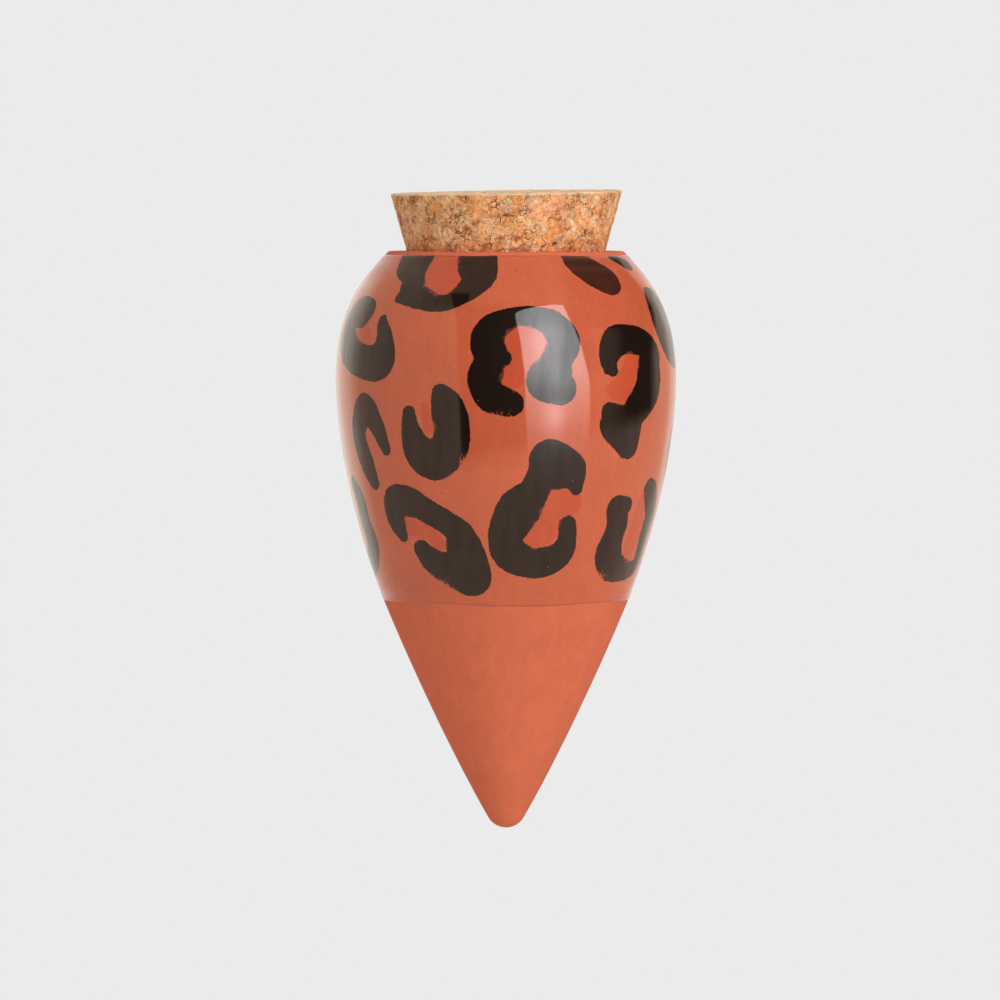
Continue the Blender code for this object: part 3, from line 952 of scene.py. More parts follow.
def cork_granules(wire, position, sizes):
    """Granules of pressed cork, large ones and crumbs. The shape and the material both use them."""
    warped = wire.wobbled(position, GRANULE_LUMPS, GRANULE_BEND)

    def grains(width):
        edge = wire.times(wire.cells(warped, 1 / width, feature="DISTANCE_TO_EDGE"), width / MM)
        return *wire.split(wire.cells(warped, 1 / width, output="Color")), edge

    large_tone, large_kind, breaking, large_edge = grains(sizes.granule)
    small_tone, small_kind, _, small_edge = grains(sizes.crumb)
    crumbled = wire.maths("GREATER_THAN", breaking, WHOLE_GRANULES)

    def either(from_large, from_small):
        return wire.maths("MULTIPLY_ADD", wire.minus(from_small, from_large), crumbled, from_large)

    tone = either(large_tone, small_tone)
    kind = either(large_kind, small_kind)
    edge = either(large_edge, small_edge)
    loose = wire.ramp(wire.noise(position, GRANULE_LUMPS, detail=3.0), *LOOSE_PATCHES)
    crack = wire.times(wire.fall(edge, *CRACK_WIDTH), loose)
    pit_size = wire.ramp(wire.noise(position, PIT_LUMPS, detail=1.0), *PIT_PATCHES, *PIT_RADII)
    pit = wire.fall(wire.minus(wire.cells(warped, 1 / PIT_SPACING), pit_size), *PIT_EDGE)
    return Granules(tone, kind, edge, loose, crack, pit)


def cork_tree(turned, sizes):
    """Shape tree of the cork: turned, cut out of square, with granules, cracks and pits cut into it."""
    tree, wire, given, result = shape_tree("cork_stopper_shape", ("Low", "High", *CORK_NUMBERS))
    straight = wire.group(turned, {"Profile": given["Profile"], "Around": given["Around"]})
    position = wire.node("GeometryNodeInputPosition")
    height = wire.split(position)[2]
    level = wire.vector_maths("MULTIPLY", position, LEVEL)
    right, back, _ = wire.split(wire.vector_maths("NORMALIZE", level))
    span = {"Value": height, "From Min": given["Low"], "From Max": given["High"]}
    share = wire.node("ShaderNodeMapRange", span)
    to_the_right = wire.times(right, wire.maths("TANGENT", given["Rise To The Right"]))
    to_the_back = wire.times(back, wire.maths("TANGENT", given["Rise To The Back"]))
    rise = wire.times(wire.sum(to_the_right, to_the_back), share)
    narrower = wire.times(wire.maths("TANGENT", given["Taper"]), rise)
    widen = wire.maths("DIVIDE", 1.0, wire.minus(1.0, narrower))
    radius = wire.times(wire.vector_maths("LENGTH", level, output="Value"), widen)
    cut_height = wire.node("ShaderNodeCombineXYZ", {"Z": wire.maths("MULTIPLY_ADD", rise, radius, height)})
    cut_place = wire.vector_maths("ADD", wire.scaled(level, widen), cut_height)
    cut = wire.node("GeometryNodeSetPosition", {"Geometry": straight, "Position": cut_place})
    granules = cork_granules(wire, position, sizes)
    depth = wire.sum(
        wire.times(wire.minus(granules.kind, LEVEL_KIND), given["Step"]),
        wire.times(granules.crack, given["Crack Depth"]),
        wire.times(granules.pit, given["Pit Depth"]),
    )
    offset = wire.scaled(wire.node("GeometryNodeInputNormal"), wire.times(depth, -1.0))
    carved = wire.node("GeometryNodeSetPosition", {"Geometry": cut, "Offset": offset})
    finish_tree(wire, given, carved, result)
    return tree


def profile_mesh(name, rows, side=None):
    """A line of points that a shape tree turns."""
    mesh = bpy.data.meshes.new(name)
    points = [(radius, 0.0, height) for radius, height in rows]
    mesh.from_pydata(points, [(index, index + 1) for index in range(len(points) - 1)], [])
    attribute = mesh.attributes.new("outside", "FLOAT", "POINT")
    attribute.data.foreach_set("value", np.ones(len(points)) if side is None else side)
    return mesh


def shaped_piece(name, profile, tree, inputs):
    """Runs a shape tree on a profile and returns the result as a plain piece."""
    piece = bpy.data.objects.new(name, profile)
    bpy.context.scene.collection.objects.link(piece)
    modifier = piece.modifiers.new("shape", "NODES")
    modifier.node_group = tree
    identifiers = {item.name: item.identifier for item in tree.interface.items_tree if item.in_out == "INPUT"}
    for label, value in inputs.items():
        modifier[identifiers[label]] = value
    depsgraph = bpy.context.evaluated_depsgraph_get()
    mesh = bpy.data.meshes.new_from_object(
        piece.evaluated_get(depsgraph), preserve_all_data_layers=True, depsgraph=depsgraph
    )
    mesh.name = name
    piece.modifiers.clear()
    piece.data = mesh
    bpy.data.meshes.remove(profile)
    return piece


def check_outwards(mesh):
    """Stops the script if a closed piece's faces point inwards."""
    mesh.calc_loop_triangles()
    corners = np.zeros(len(mesh.loop_triangles) * 3, np.int32)
    mesh.loop_triangles.foreach_get("vertices", corners)
    places = np.zeros(len(mesh.vertices) * 3, np.float32)
    mesh.vertices.foreach_get("co", places)
    triangles = places.reshape(-1, 3).astype(float)[corners].reshape(-1, 3, 3)
    volume = np.einsum("ij,ij->i", triangles[:, 0], np.cross(triangles[:, 1], triangles[:, 2])).sum() / 6
    if volume <= 0:
        raise RuntimeError(f"{mesh.name} is inside out")


# Specks: the random numbers that give one, from none to its full size, and its soft edge, in spacings.
SPECK_CHANCE = (0.35, 1.0)
SPECK_EDGE = (-0.03, 0.02)


def grain_group():
    """Shared effect: the height of a fine, dry grain."""
    tree, wire, given, result = effect_tree("fine_grain", ("Grains a Metre", "Lumps a Metre"), "Height")
    grains = wire.noise(given["Vector"], given["Grains a Metre"], detail=3.0, roughness=0.65)
    lumps = wire.noise(given["Vector"], given["Lumps a Metre"])
    wire.feed(result, 0, wire.sum(wire.times(grains, 0.55), wire.times(lumps, 0.45)))
    return tree


def mottle_group():
    """Shared effect: an uneven tone, as a factor round 1."""
    tree, wire, given, result = effect_tree("uneven_tone", ("Clouds a Metre", "Strength"), "Factor")
    clouds = wire.noise(given["Vector"], given["Clouds a Metre"], detail=5.0, roughness=0.62)
    centred = wire.times(wire.minus(clouds, 0.5), 2.0)
    wire.feed(result, 0, wire.maths("MULTIPLY_ADD", centred, given["Strength"], 1.0))
    return tree


def speck_group():
    """Shared effect: scattered small specks of different sizes."""
    tree, wire, given, result = effect_tree("scattered_specks", ("Specks a Metre", "Size"), "Mask")
    apart = wire.cells(given["Vector"], given["Specks a Metre"])
    chance = wire.split(wire.cells(given["Vector"], given["Specks a Metre"], output="Color"))[0]
    radius = wire.times(wire.ramp(chance, *SPECK_CHANCE), given["Size"])
    wire.feed(result, 0, wire.fall(wire.minus(apart, radius), *SPECK_EDGE))
    return tree


def empty_material(name):
    """An empty material and its wiring."""
    material = bpy.data.materials.new(name)
    material.use_nodes = True
    material.node_tree.nodes.clear()
    return material, Wiring(material.node_tree)


def new_material(name):
    """A material, its wiring and its main shader."""
    material, wire = empty_material(name)
    shader = wire.tree.nodes.new("ShaderNodeBsdfPrincipled")
    wire.end(shader.outputs["BSDF"])
    return material, wire, shader


# Soft edges in the glaze and the paint, in millimetres inside the glaze or outside the paint.
GLAZE_EDGE = (-0.02, 0.10)
BLACK_EDGE = (-0.07, 0.09)
CORAL_EDGE = (-0.25, 0.30)
RIM_RISE = (-0.10, 0.05)
RIM_FALL = (0.10, 0.42)

# How ragged the paint's edges are: lumps a metre, and their reach in millimetres.
COARSE_RAGS = (520.0, 0.55)
FINE_RAGS = (2400.0, 0.34)
CORAL_RAGGEDNESS = 1.4

# Marks of the brush, which run up and down, and how far a dry one leaves the clay bare, in millimetres.
STROKES = (1.0, 1.0, 0.22)
BRISTLES = (1.0, 1.0, 0.55)
BRISTLE_LUMPS = 2900.0
DRY_BRUSH = (0.46, 0.78, 0.0, 3.2)

# The brown fringe of the black paint beside the coral: its reach, its width by soft noise, and its soft edge.
FRINGE_REACH = (0.1, 1.1)
FRINGE_LUMPS = 260.0
FRINGE_WIDTH = (0.44, 0.68, 0.1, -0.75)
FRINGE_EDGE = (-0.40, 0.10)

# Uneven tones, as clouds a metre and strength. The grain's strength is given for bare and for glazed clay.
CLAY_CLOUDS = (60.0, 0.13)
CLAY_BRUSHING = (420.0, 0.13)
CLAY_GRAIN = 1900.0
CLAY_GRAIN_STRENGTH = (0.07, 0.20)
PAINT_BRUSHING = (300.0, 0.5)

# Specks in the glaze, as specks a metre and size in spacings, and how far the dust's cells are moved.
PINS = (420.0, 0.10)
DUST = (330.0, 0.065)
ELSEWHERE = (0.13, 0.13, 0.13)

# How strongly each colour covers what is below it.
PIN_COVER = 0.55
FRINGE_COVER = 0.85
DUST_COVER = 0.38
RIM_COVER = 0.30

# Roughness and bump of bare and of glazed clay, its sand, and where the glaze is dull over the paint.
CLAY_ROUGHNESS = (0.86, 0.55)
CLAY_BUMP = (0.55, 0.06)
CLAY_BUMP_DEPTH = 0.18 * MM
CLAY_SAND = {"Grains a Metre": 2600.0, "Lumps a Metre": 700.0}
DULL_LUMPS = 420.0
DULL_PATCHES = (0.40, 0.70, 0.0, 0.18)


def vessel_material(finish, grain, mottle, specks):
    """Terracotta, bare or under a clear glaze, with painted spots under the glaze."""
    material, wire, shader = new_material("glazed_terracotta")
    place = wire.node("ShaderNodeTexCoord", output="Object")
    strokes = wire.vector_maths("MULTIPLY", place, STROKES)
    glaze = wire.attribute("glaze")
    glazed = wire.ramp(glaze, *GLAZE_EDGE)

    def rags(lumps, reach):
        return wire.times(wire.minus(wire.noise(place, lumps), 0.5), reach)

    def mottled(where, clouds, strength):
        return wire.group(mottle, {"Vector": where, "Clouds a Metre": clouds, "Strength": strength})

    def glazed_specks(where, spacing, size):
        mask = wire.group(specks, {"Vector": where, "Specks a Metre": spacing, "Size": size})
        return wire.times(mask, glazed)

    def toned(colour, factor):
        grey = wire.node("ShaderNodeCombineXYZ", {0: factor, 1: factor, 2: factor})
        return wire.vector_maths("MULTIPLY", colour, grey)

    def bare_to_glazed(bare, covered):
        return wire.ramp(glazed, 0.0, 1.0, bare, covered)

    ragged = wire.sum(rags(*COARSE_RAGS), rags(*FINE_RAGS))
    brush = wire.vector_maths("MULTIPLY", place, BRISTLES)
    bristles = wire.noise(brush, BRISTLE_LUMPS, detail=4.0, roughness=0.7)
    dry = wire.largest(wire.attribute("dry"), 0.0)
    skips = wire.times(dry, wire.ramp(bristles, *DRY_BRUSH))
    black_edge = wire.sum(wire.attribute("black"), ragged, skips)
    black = wire.fall(black_edge, *BLACK_EDGE)
    coral_edge = wire.sum(wire.attribute("coral"), wire.times(ragged, CORAL_RAGGEDNESS))
    coral = wire.times(wire.fall(coral_edge, *CORAL_EDGE), glazed)
    near_coral = wire.fall(wire.attribute("coral"), *FRINGE_REACH)
    fringe_width = wire.ramp(wire.noise(place, FRINGE_LUMPS, detail=3.0), *FRINGE_WIDTH)
    fringe = wire.times(wire.ramp(wire.minus(black_edge, fringe_width), *FRINGE_EDGE), near_coral)

    grainy = mottled(place, CLAY_GRAIN, bare_to_glazed(*CLAY_GRAIN_STRENGTH))
    uneven = wire.times(mottled(place, *CLAY_CLOUDS), mottled(strokes, *CLAY_BRUSHING), grainy)
    uneven_paint = mottled(strokes, *PAINT_BRUSHING)
    pins = glazed_specks(place, *PINS)
    dust = glazed_specks(wire.vector_maths("ADD", place, ELSEWHERE), *DUST)

    clay = wire.over(with_alpha(finish.bare_clay), finish.glazed_clay, glazed)
    clay = wire.over(clay, finish.speck, pins, PIN_COVER)
    body = toned(wire.over(clay, finish.coral, coral), uneven)
    ink = wire.over(with_alpha(finish.black), finish.maroon, wire.attribute("thin"))
    ink = wire.over(toned(ink, uneven_paint), finish.brown, fringe, FRINGE_COVER)
    under_glaze = wire.times(black, glazed)
    colour = wire.blend(under_glaze, body, ink)
    colour = wire.over(colour, finish.pale_speck, dust, DUST_COVER)
    # A darker line just inside both edges of the glaze, in the speck colour.
    rim = wire.times(wire.ramp(glaze, *RIM_RISE), wire.fall(glaze, *RIM_FALL))
    colour = wire.over(colour, finish.speck, rim, RIM_COVER)
    wire.feed(shader, "Base Color", colour)

    wire.feed(shader, "Roughness", bare_to_glazed(*CLAY_ROUGHNESS))
    shader.inputs["Specular IOR Level"].default_value = 0.04
    dull = wire.ramp(wire.noise(strokes, DULL_LUMPS), *DULL_PATCHES)
    wire.feed(shader, "Coat Weight", wire.minus(glazed, wire.times(dull, under_glaze)))
    shader.inputs["Coat Roughness"].default_value = 0.03
    shader.inputs["Coat IOR"].default_value = 1.55

    sandy = wire.group(grain, {"Vector": place, **CLAY_SAND})
    bump = {"Strength": bare_to_glazed(*CLAY_BUMP), "Distance": CLAY_BUMP_DEPTH, "Height": sandy}
    wire.feed(shader, "Normal", wire.node("ShaderNodeBump", bump))
    return material


# Patches on the cork, as how far their noise is moved, its lumps a metre, and the range that they rise over.
TAN_PATCHES = (0.3, 210.0, 0.36, 0.62)
CHIPPED_PATCHES = (4.1, 240.0, 0.44, 0.58)
SHADED_PATCHES = (5.2, 300.0, 0.46, 0.60)
LIT_PATCHES = (1.1, 520.0, 0.50, 0.60)
GAP_PATCHES = (3.3, 520.0, 0.42, 0.54)
HAIR_PATCHES = (1.9, 420.0, 0.52, 0.66)
CRUMB_PATCHES = (2.6, 260.0, 0.42, 0.58)

# How a granule's or a chip's random numbers colour it: the range they work over, and the cover at both ends.
DARK_GRANULES = (0.0, 0.30, 0.40, 0.0)
LIGHT_GRANULES = (0.55, 0.95, 0.0, 0.45)
PINK_GRANULES = (0.70, 0.94, 0.0, 0.42)
PALE_CHIPS = (0.70, 0.88, 0.0, 0.52)
DARK_CHIPS = (0.80, 0.96, 0.0, 0.30)

# Distances from the edge of a granule or a chip, in millimetres: the painted shade near the edge, with its cover
# at the edge, the painted highlight beside it, the gaps and the hair cracks.
SHADE = (0.0, 1.0, 0.38)
EDGE_HIGHLIGHT_RISE = (0.10, 0.20)
EDGE_HIGHLIGHT_FALL = (0.24, 0.46)
GAP_WIDTH = (0.02, 0.16)
HAIR_WIDTH = (0.03, 0.17)

# How the facets inside a granule are bent, and their height on whole and on chipped granules.
CHIP_LUMPS = 420.0
CHIP_BEND = 1.5 * MM
FACET_HEIGHT = (1200.0, 3200.0)

# How far below the cut top the painted light that makes it paler starts and is full.
CUT_START = 0.45 * MM
CUT_FULL = 0.10 * MM

# Uneven tones, as clouds a metre and strength, and how much more they change green and blue.
CORK_CLOUDS = (900.0, 0.8)
CORK_SPECKLE = (2600.0, 0.65)
GREEN_POWER = 1.2
BLUE_POWER = 1.4

# Crumbs, as crumbs a metre and size in spacings.
PALE_CRUMBS = (460.0, 0.22)
DARK_CRUMBS = (640.0, 0.24)

# How strongly each colour covers what is below it, and how much of the cracks is left on the top.
PALE_COVER = 0.7
GAP_COVER = 0.92
HAIR_COVER = 0.55
CRUMB_COVER = 0.85
GAPS_ON_TOP = 0.3
HAIRS_ON_TOP = 0.4

# The cork's bump.
CORK_GRAIN = {"Grains a Metre": 2600.0, "Lumps a Metre": 900.0}
CORK_HOLLOWS = 0.4
CORK_BUMP = {"Strength": 0.9, "Distance": 0.35 * MM}


def cork_material(sizes, top_height, finish, grain, mottle, specks):
    """Pressed cork: granules in several tones with dark gaps, pits and pale flecks, painted shade and painted
    highlights along the granules' edges, and a cut top painted paler, as light from above makes it look.
    """
    material, wire, shader = new_material("agglomerated_cork")
    place = wire.node("ShaderNodeTexCoord", output="Object")
    granules = cork_granules(wire, place, sizes)
    crumpled = wire.wobbled(place, CHIP_LUMPS, CHIP_BEND)
    chips = 1 / sizes.chip
    chip_colour = wire.cells(crumpled, chips, output="Color")
    pale_chance, dark_chance, _ = wire.split(chip_colour)
    chip_edge = wire.times(wire.cells(crumpled, chips, feature="DISTANCE_TO_EDGE"), sizes.chip / MM)
    from_chip = wire.vector_maths("SUBTRACT", crumpled, wire.cells(crumpled, chips, output="Position"))
    chip_lean = wire.vector_maths("SUBTRACT", chip_colour, MIDDLE)
    across_top = (-math.tan(sizes.rise_to_the_right), -math.tan(sizes.rise_to_the_back), 1.0)
    at_top = wire.ramp(wire.dot(place, across_top), top_height - CUT_START, top_height - CUT_FULL)

    def patches(shift, lumps, low, high):
        moved = wire.vector_maths("ADD", place, (shift, shift, shift))
        return wire.ramp(wire.noise(moved, lumps, detail=4.0, roughness=0.6), low, high)

    def mottled(clouds, strength):
        return wire.group(mottle, {"Vector": place, "Clouds a Metre": clouds, "Strength": strength})

    def crumbled(spacing, size):
        return wire.group(specks, {"Vector": place, "Specks a Metre": spacing, "Size": size})

    def left_on_top(share):
        return wire.ramp(at_top, 0.0, 1.0, 1.0, share)

    tone = wire.over(with_alpha(finish.dark_granule), finish.tan_granule, patches(*TAN_PATCHES))
    tone = wire.over(tone, finish.dark_granule, wire.ramp(granules.tone, *DARK_GRANULES))
    tone = wire.over(tone, finish.light_granule, wire.ramp(granules.tone, *LIGHT_GRANULES))
    tone = wire.over(tone, finish.pink_granule, wire.ramp(granules.kind, *PINK_GRANULES))
    chipped = patches(*CHIPPED_PATCHES)
    tone = wire.over(tone, finish.pale_fleck_and_highlight, wire.ramp(pale_chance, *PALE_CHIPS), chipped)
    tone = wire.over(tone, finish.crack, wire.ramp(dark_chance, *DARK_CHIPS), chipped)
    # Painted shade: darker towards each granule's edge, in the crack colour.
    tone = wire.over(tone, finish.crack, wire.fall(granules.edge, *SHADE), patches(*SHADED_PATCHES))
    factor = wire.times(mottled(*CORK_CLOUDS), mottled(*CORK_SPECKLE))
    green, blue = wire.maths("POWER", factor, GREEN_POWER), wire.maths("POWER", factor, BLUE_POWER)
    warmer = wire.node("ShaderNodeCombineXYZ", {0: factor, 1: green, 2: blue})
    body = wire.vector_maths("MULTIPLY", tone, warmer)

    # Painted highlight: a pale band just inside each granule's edge, where lit patches say.
    edge_highlight = wire.times(wire.ramp(granules.edge, *EDGE_HIGHLIGHT_RISE), wire.fall(granules.edge, *EDGE_HIGHLIGHT_FALL))
    body = wire.over(body, finish.pale_fleck_and_highlight, wire.times(edge_highlight, patches(*LIT_PATCHES)), PALE_COVER)
    body = wire.over(body, finish.pale_fleck_and_highlight, crumbled(*PALE_CRUMBS), PALE_COVER)
    # Painted light: the top face paler, as lit from above.
    body = wire.over(body, finish.painted_lit_top, at_top, PALE_COVER)

    gap = wire.times(wire.fall(granules.edge, *GAP_WIDTH), granules.loose, patches(*GAP_PATCHES))
    gap = wire.times(gap, left_on_top(GAPS_ON_TOP))
    body = wire.over(body, finish.crack, gap, GAP_COVER)
    hair = wire.times(wire.fall(chip_edge, *HAIR_WIDTH), patches(*HAIR_PATCHES), left_on_top(HAIRS_ON_TOP))
    body = wire.over(body, finish.crack, hair, HAIR_COVER)
    crumbs = wire.times(crumbled(*DARK_CRUMBS), patches(*CRUMB_PATCHES))
    body = wire.over(body, finish.crack, crumbs, CRUMB_COVER)
    body = wire.over(body, finish.pit, granules.pit)
    wire.feed(shader, "Base Color", body)
    shader.inputs["Roughness"].default_value = 0.88
    shader.inputs["Specular IOR Level"].default_value = 0.06

    dusty = wire.group(grain, {"Vector": place, **CORK_GRAIN})
    hollows = wire.largest(gap, crumbs, hair, granules.pit)
    facets = wire.times(wire.dot(from_chip, chip_lean), wire.ramp(chipped, 0.0, 1.0, *FACET_HEIGHT))
    height = wire.minus(wire.sum(dusty, facets), wire.times(hollows, CORK_HOLLOWS))
    wire.feed(shader, "Normal", wire.node("ShaderNodeBump", {**CORK_BUMP, "Height": height}))
    return material


def shared_group(name, build):
    """A group that is built once and used again by its name."""
    return bpy.data.node_groups.get(name) or build()


def shared_effects():
    """The effects that both materials use."""
    return (
        shared_group("fine_grain", grain_group),
        shared_group("uneven_tone", mottle_group),
        shared_group("scattered_specks", speck_group),
    )


def labelled(sizes, labels):
    """Sizes by the labels of the inputs that they feed."""
    return {label: getattr(sizes, label.replace(" ", "_").lower()) for label in ("Around", *labels)}


class OLLA_OT_vessel(bpy.types.Operator):
    """Turn the clay vessel, paint its spots and glaze it down to the soil line"""

    bl_idname = "olla.vessel"
    bl_label = "Clay vessel"

    def execute(self, context):
        sizes = context.scene.olla_vessel_sizes
        rows, side, outer_rows = vessel_profile(sizes, context.scene.olla_cork_sizes.taper)
        tree = vessel_tree(shared_group("turned_on_the_wheel", turned_group))
        inputs = labelled(sizes, VESSEL_NUMBERS)
        inputs["Material"] = vessel_material(context.scene.olla_vessel_finish, *shared_effects())
        piece = shaped_piece("glazed_vessel", profile_mesh("vessel_profile", rows, side), tree, inputs)
        check_outwards(piece.data)
        studio = context.scene.olla_studio
        eye = Eye(studio.aim_side / MM, studio.distance / MM, studio.camera_height / MM)
        paint_spots(piece.data, outer_rows, eye)
        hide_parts("clay_vessel")
        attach(piece, "vessel")
        return {"FINISHED"}


class OLLA_OT_cork(bpy.types.Operator):
    """Cut the stopper from pressed cork"""

    bl_idname = "olla.cork"
    bl_label = "Cork stopper"

    def execute(self, context):
        sizes = context.scene.olla_cork_sizes
        vessel = context.scene.olla_vessel_sizes
        tree = cork_tree(shared_group("turned_on_the_wheel", turned_group), sizes)
        top_height = vessel.lip_height + sizes.proud
        inputs = labelled(sizes, CORK_NUMBERS)
        inputs["Low"] = vessel.lip_height - sizes.seated
        inputs["High"] = top_height
        finish = context.scene.olla_cork_finish
        inputs["Material"] = cork_material(sizes, top_height, finish, *shared_effects())
        profile = profile_mesh("cork_profile", cork_profile(sizes, vessel))
        piece = shaped_piece("pressed_cork", profile, tree, inputs)
        check_outwards(piece.data)
        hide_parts("cork_stopper")
        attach(piece, "stopper")
        return {"FINISHED"}


class WallMirror(NamedTuple):
    """The vessel's wall as a mirror, seen by an eye: for rows from the soil line up, the elevation that the wall's
    front shows, how far the wall leans back there, and its radius and height."""

    eye: Vector
    shown: np.ndarray
    lean: np.ndarray
    radius: np.ndarray
    height: np.ndarray


def wall_mirror(sizes, eye):
    """The glazed wall as a mirror."""
    rows = outer_line(sizes)[::-1]
    glazed = rows[(rows[:, 1] > 0) & (rows[:, 1] < sizes.glaze_top)]
    along = np.gradient(glazed, axis=0)
    lean = np.maximum.accumulate(np.degrees(np.arctan2(-along[:, 0], along[:, 1])))
    to_eye = np.degrees(np.arctan2(eye.z - glazed[:, 1], -eye.y))
    return WallMirror(eye, 2 * lean - to_eye, lean, glazed[:, 0], glazed[:, 1])


def shown_by_wall(mirror, azimuth, elevation, distance):
    """The point on a sphere round the object that the wall shows where it faces half the azimuth, at the height
    where its front shows the elevation."""
    columns = (mirror.lean, mirror.radius, mirror.height)
    lean, radius, height = (float(np.interp(elevation, mirror.shown, column)) for column in columns)
    facing = towards(azimuth / 2, lean)
    place = towards(azimuth / 2, 0.0) * radius + Vector((0.0, 0.0, height))
    to_eye = (mirror.eye - place).normalized()
    reflected = 2 * to_eye.dot(facing) * facing - to_eye
    from_centre = place - STUDIO_CENTRE
    outwards = from_centre.dot(reflected)
    reach = math.sqrt(outwards**2 - from_centre.length_squared + distance**2) - outwards
    return place + reflected * reach


class CardRow(NamedTuple):
    """One row of a card: its elevations at both ends, the azimuths of its ends, and how well it covers what is
    behind it. Both are as the vessel shows them: the elevation is the one that the front shows at that height,
    and the azimuth is twice the wall's own."""

    left_elevation: float
    right_elevation: float
    left: float
    right: float
    cover: float


def level_row(elevation, left, right, cover):
    """A card's row that the wall shows at one height."""
    return CardRow(elevation, elevation, left, right, cover)


class Glow(NamedTuple):
    """A brighter place on a card."""

    azimuth: float
    elevation: float
    strength: float
    width: float
    height: float


class Profile(NamedTuple):
    """How a card's cover changes from left to right, and how many degrees its two side edges take to fade."""

    azimuths: tuple
    cover: tuple
    fade_left: float
    fade_right: float


# The cards that the glaze reflects lie on spheres round the object. Their rows run upwards.
CARD_COLUMNS = 80
CARD_ROWS = 60
STUDIO_CENTRE = Vector((0.0, 0.0, 0.02))

# The soft box. Its lower edge fades out over the floor.
SOFT_BOX_DISTANCE = 1.5
SOFT_BOX_PROFILE = Profile(
    (8.0, 14.0, 20.0, 36.0, 44.0, 56.0, 66.0), (0.50, 0.56, 0.62, 0.66, 0.62, 0.56, 0.40), 0.8, 1.6
)
SOFT_BOX_ROWS = [
    level_row(-27.0, 15.0, 59.0, 0.00),
    level_row(-21.0, 15.0, 59.0, 0.03),
    level_row(-18.0, 14.0, 59.4, 0.11),
    level_row(-15.0, 13.6, 59.6, 0.25),
    level_row(-11.0, 13.0, 59.6, 0.40),
    level_row(-7.0, 12.8, 59.4, 0.54),
    level_row(-2.0, 12.4, 58.8, 0.74),
    level_row(3.0, 12.0, 57.6, 0.92),
    level_row(9.0, 11.0, 55.6, 1.00),
    level_row(17.5, 9.8, 53.2, 1.00),
    level_row(24.0, 8.4, 50.8, 1.00),
    level_row(30.0, 7.1, 48.8, 1.00),
    level_row(37.5, 6.0, 46.4, 1.00),
    level_row(40.5, 6.2, 45.4, 1.00),
    level_row(43.5, 12.0, 44.6, 1.00),
    level_row(45.5, 20.0, 44.0, 1.00),
    level_row(48.0, 33.0, 43.0, 0.90),
]
SOFT_BOX_GLOWS = [
    Glow(27.4, 19.0, 0.36, 10.0, 14.0),
    Glow(33.7, 0.8, 0.16, 9.0, 8.0),
    Glow(32.6, -11.6, 0.38, 8.0, 4.6),
]

# The dark part of the room, with a dim gap right of the soft box, a narrow upright at its left edge, and a taller
# part on the right, which keeps the wall dark up to the lip there.
DARK_CARD_DISTANCE = 1.7
DARK_CARD_PROFILE = Profile(
    (-70.0, 58.0, 62.0, 76.0, 90.0, 130.0), (1.0, 1.0, 0.45, 0.50, 1.0, 1.0), 2.2, 9.0
)
DARK_CARD_ROWS = [
    CardRow(-23.6, -13.4, -32.4, 124.0, 0.0),
    CardRow(-19.2, -9.7, -32.4, 124.0, 1.0),
    CardRow(-5.0, -3.0, -32.9, 123.0, 1.0),
    CardRow(9.0, 9.0, -33.8, 123.0, 1.0),
    CardRow(21.6, 21.6, -34.8, 129.0, 1.0),
    CardRow(37.9, 37.9, -36.4, 136.0, 1.0),
    CardRow(45.0, 45.0, -39.0, 138.0, 1.0),
    CardRow(51.0, 51.0, -41.0, 138.0, 0.0),
]
DARK_UPRIGHT_DISTANCE = 1.72
DARK_UPRIGHT_PROFILE = Profile((-90.0, 90.0), (1.0, 1.0), 1.4, 1.4)
DARK_UPRIGHT_ROWS = [
    level_row(36.0, -36.4, -26.0, 1.0),
    level_row(46.0, -39.4, -26.8, 1.0),
    level_row(57.0, -43.0, -26.8, 1.0),
    level_row(61.0, -44.0, -27.0, 0.0),
]
DARK_SIDE_DISTANCE = 1.74
DARK_SIDE_PROFILE = Profile((0.0, 180.0), (1.0, 1.0), 16.0, 9.0)
DARK_SIDE_ROWS = [
    level_row(28.0, 40.0, 133.0, 1.0),
    level_row(45.0, 38.0, 139.0, 1.0),
    level_row(60.0, 38.0, 137.0, 1.0),
    level_row(78.0, 38.0, 131.0, 1.0),
    level_row(89.0, 38.0, 131.0, 0.0),
]

CEILING_DISTANCE = 1.8
CEILING_PROFILE = Profile((-90.0, 90.0), (1.0, 1.0), 22.0, 34.0)
CEILING_ROWS = [
    level_row(42.0, -68.0, 60.0, 0.0),
    level_row(49.0, -66.0, 58.0, 1.0),
    level_row(89.0, -56.0, 50.0, 1.0),
]

# Bright walls at the back corners of the room, which show along both sides of the vessel.
RIM_DISTANCE = 1.9
LEFT_RIM_PROFILE = Profile((-180.0, 0.0), (0.85, 0.85), 16.0, 16.0)
RIGHT_RIM_PROFILE = Profile((0.0, 180.0), (0.38, 0.38), 3.0, 16.0)
RIM_ELEVATIONS = ((-45.0, 0.0), (-28.0, 1.0), (68.0, 1.0), (84.0, 0.0))
LEFT_RIM_ROWS = [level_row(elevation, -174.0, -118.0, cover) for elevation, cover in RIM_ELEVATIONS]
RIGHT_RIM_ROWS = [level_row(elevation, 145.0, 174.0, cover) for elevation, cover in RIM_ELEVATIONS]

ROOM_DISTANCE = 2.0
ROOM_PROFILE = Profile((-180.0, 180.0), (1.0, 1.0), 44.0, 44.0)
ROOM_ROWS = [level_row(elevation, -180.0, 180.0, 1.0) for elevation in (-89.0, 0.0, 89.0)]

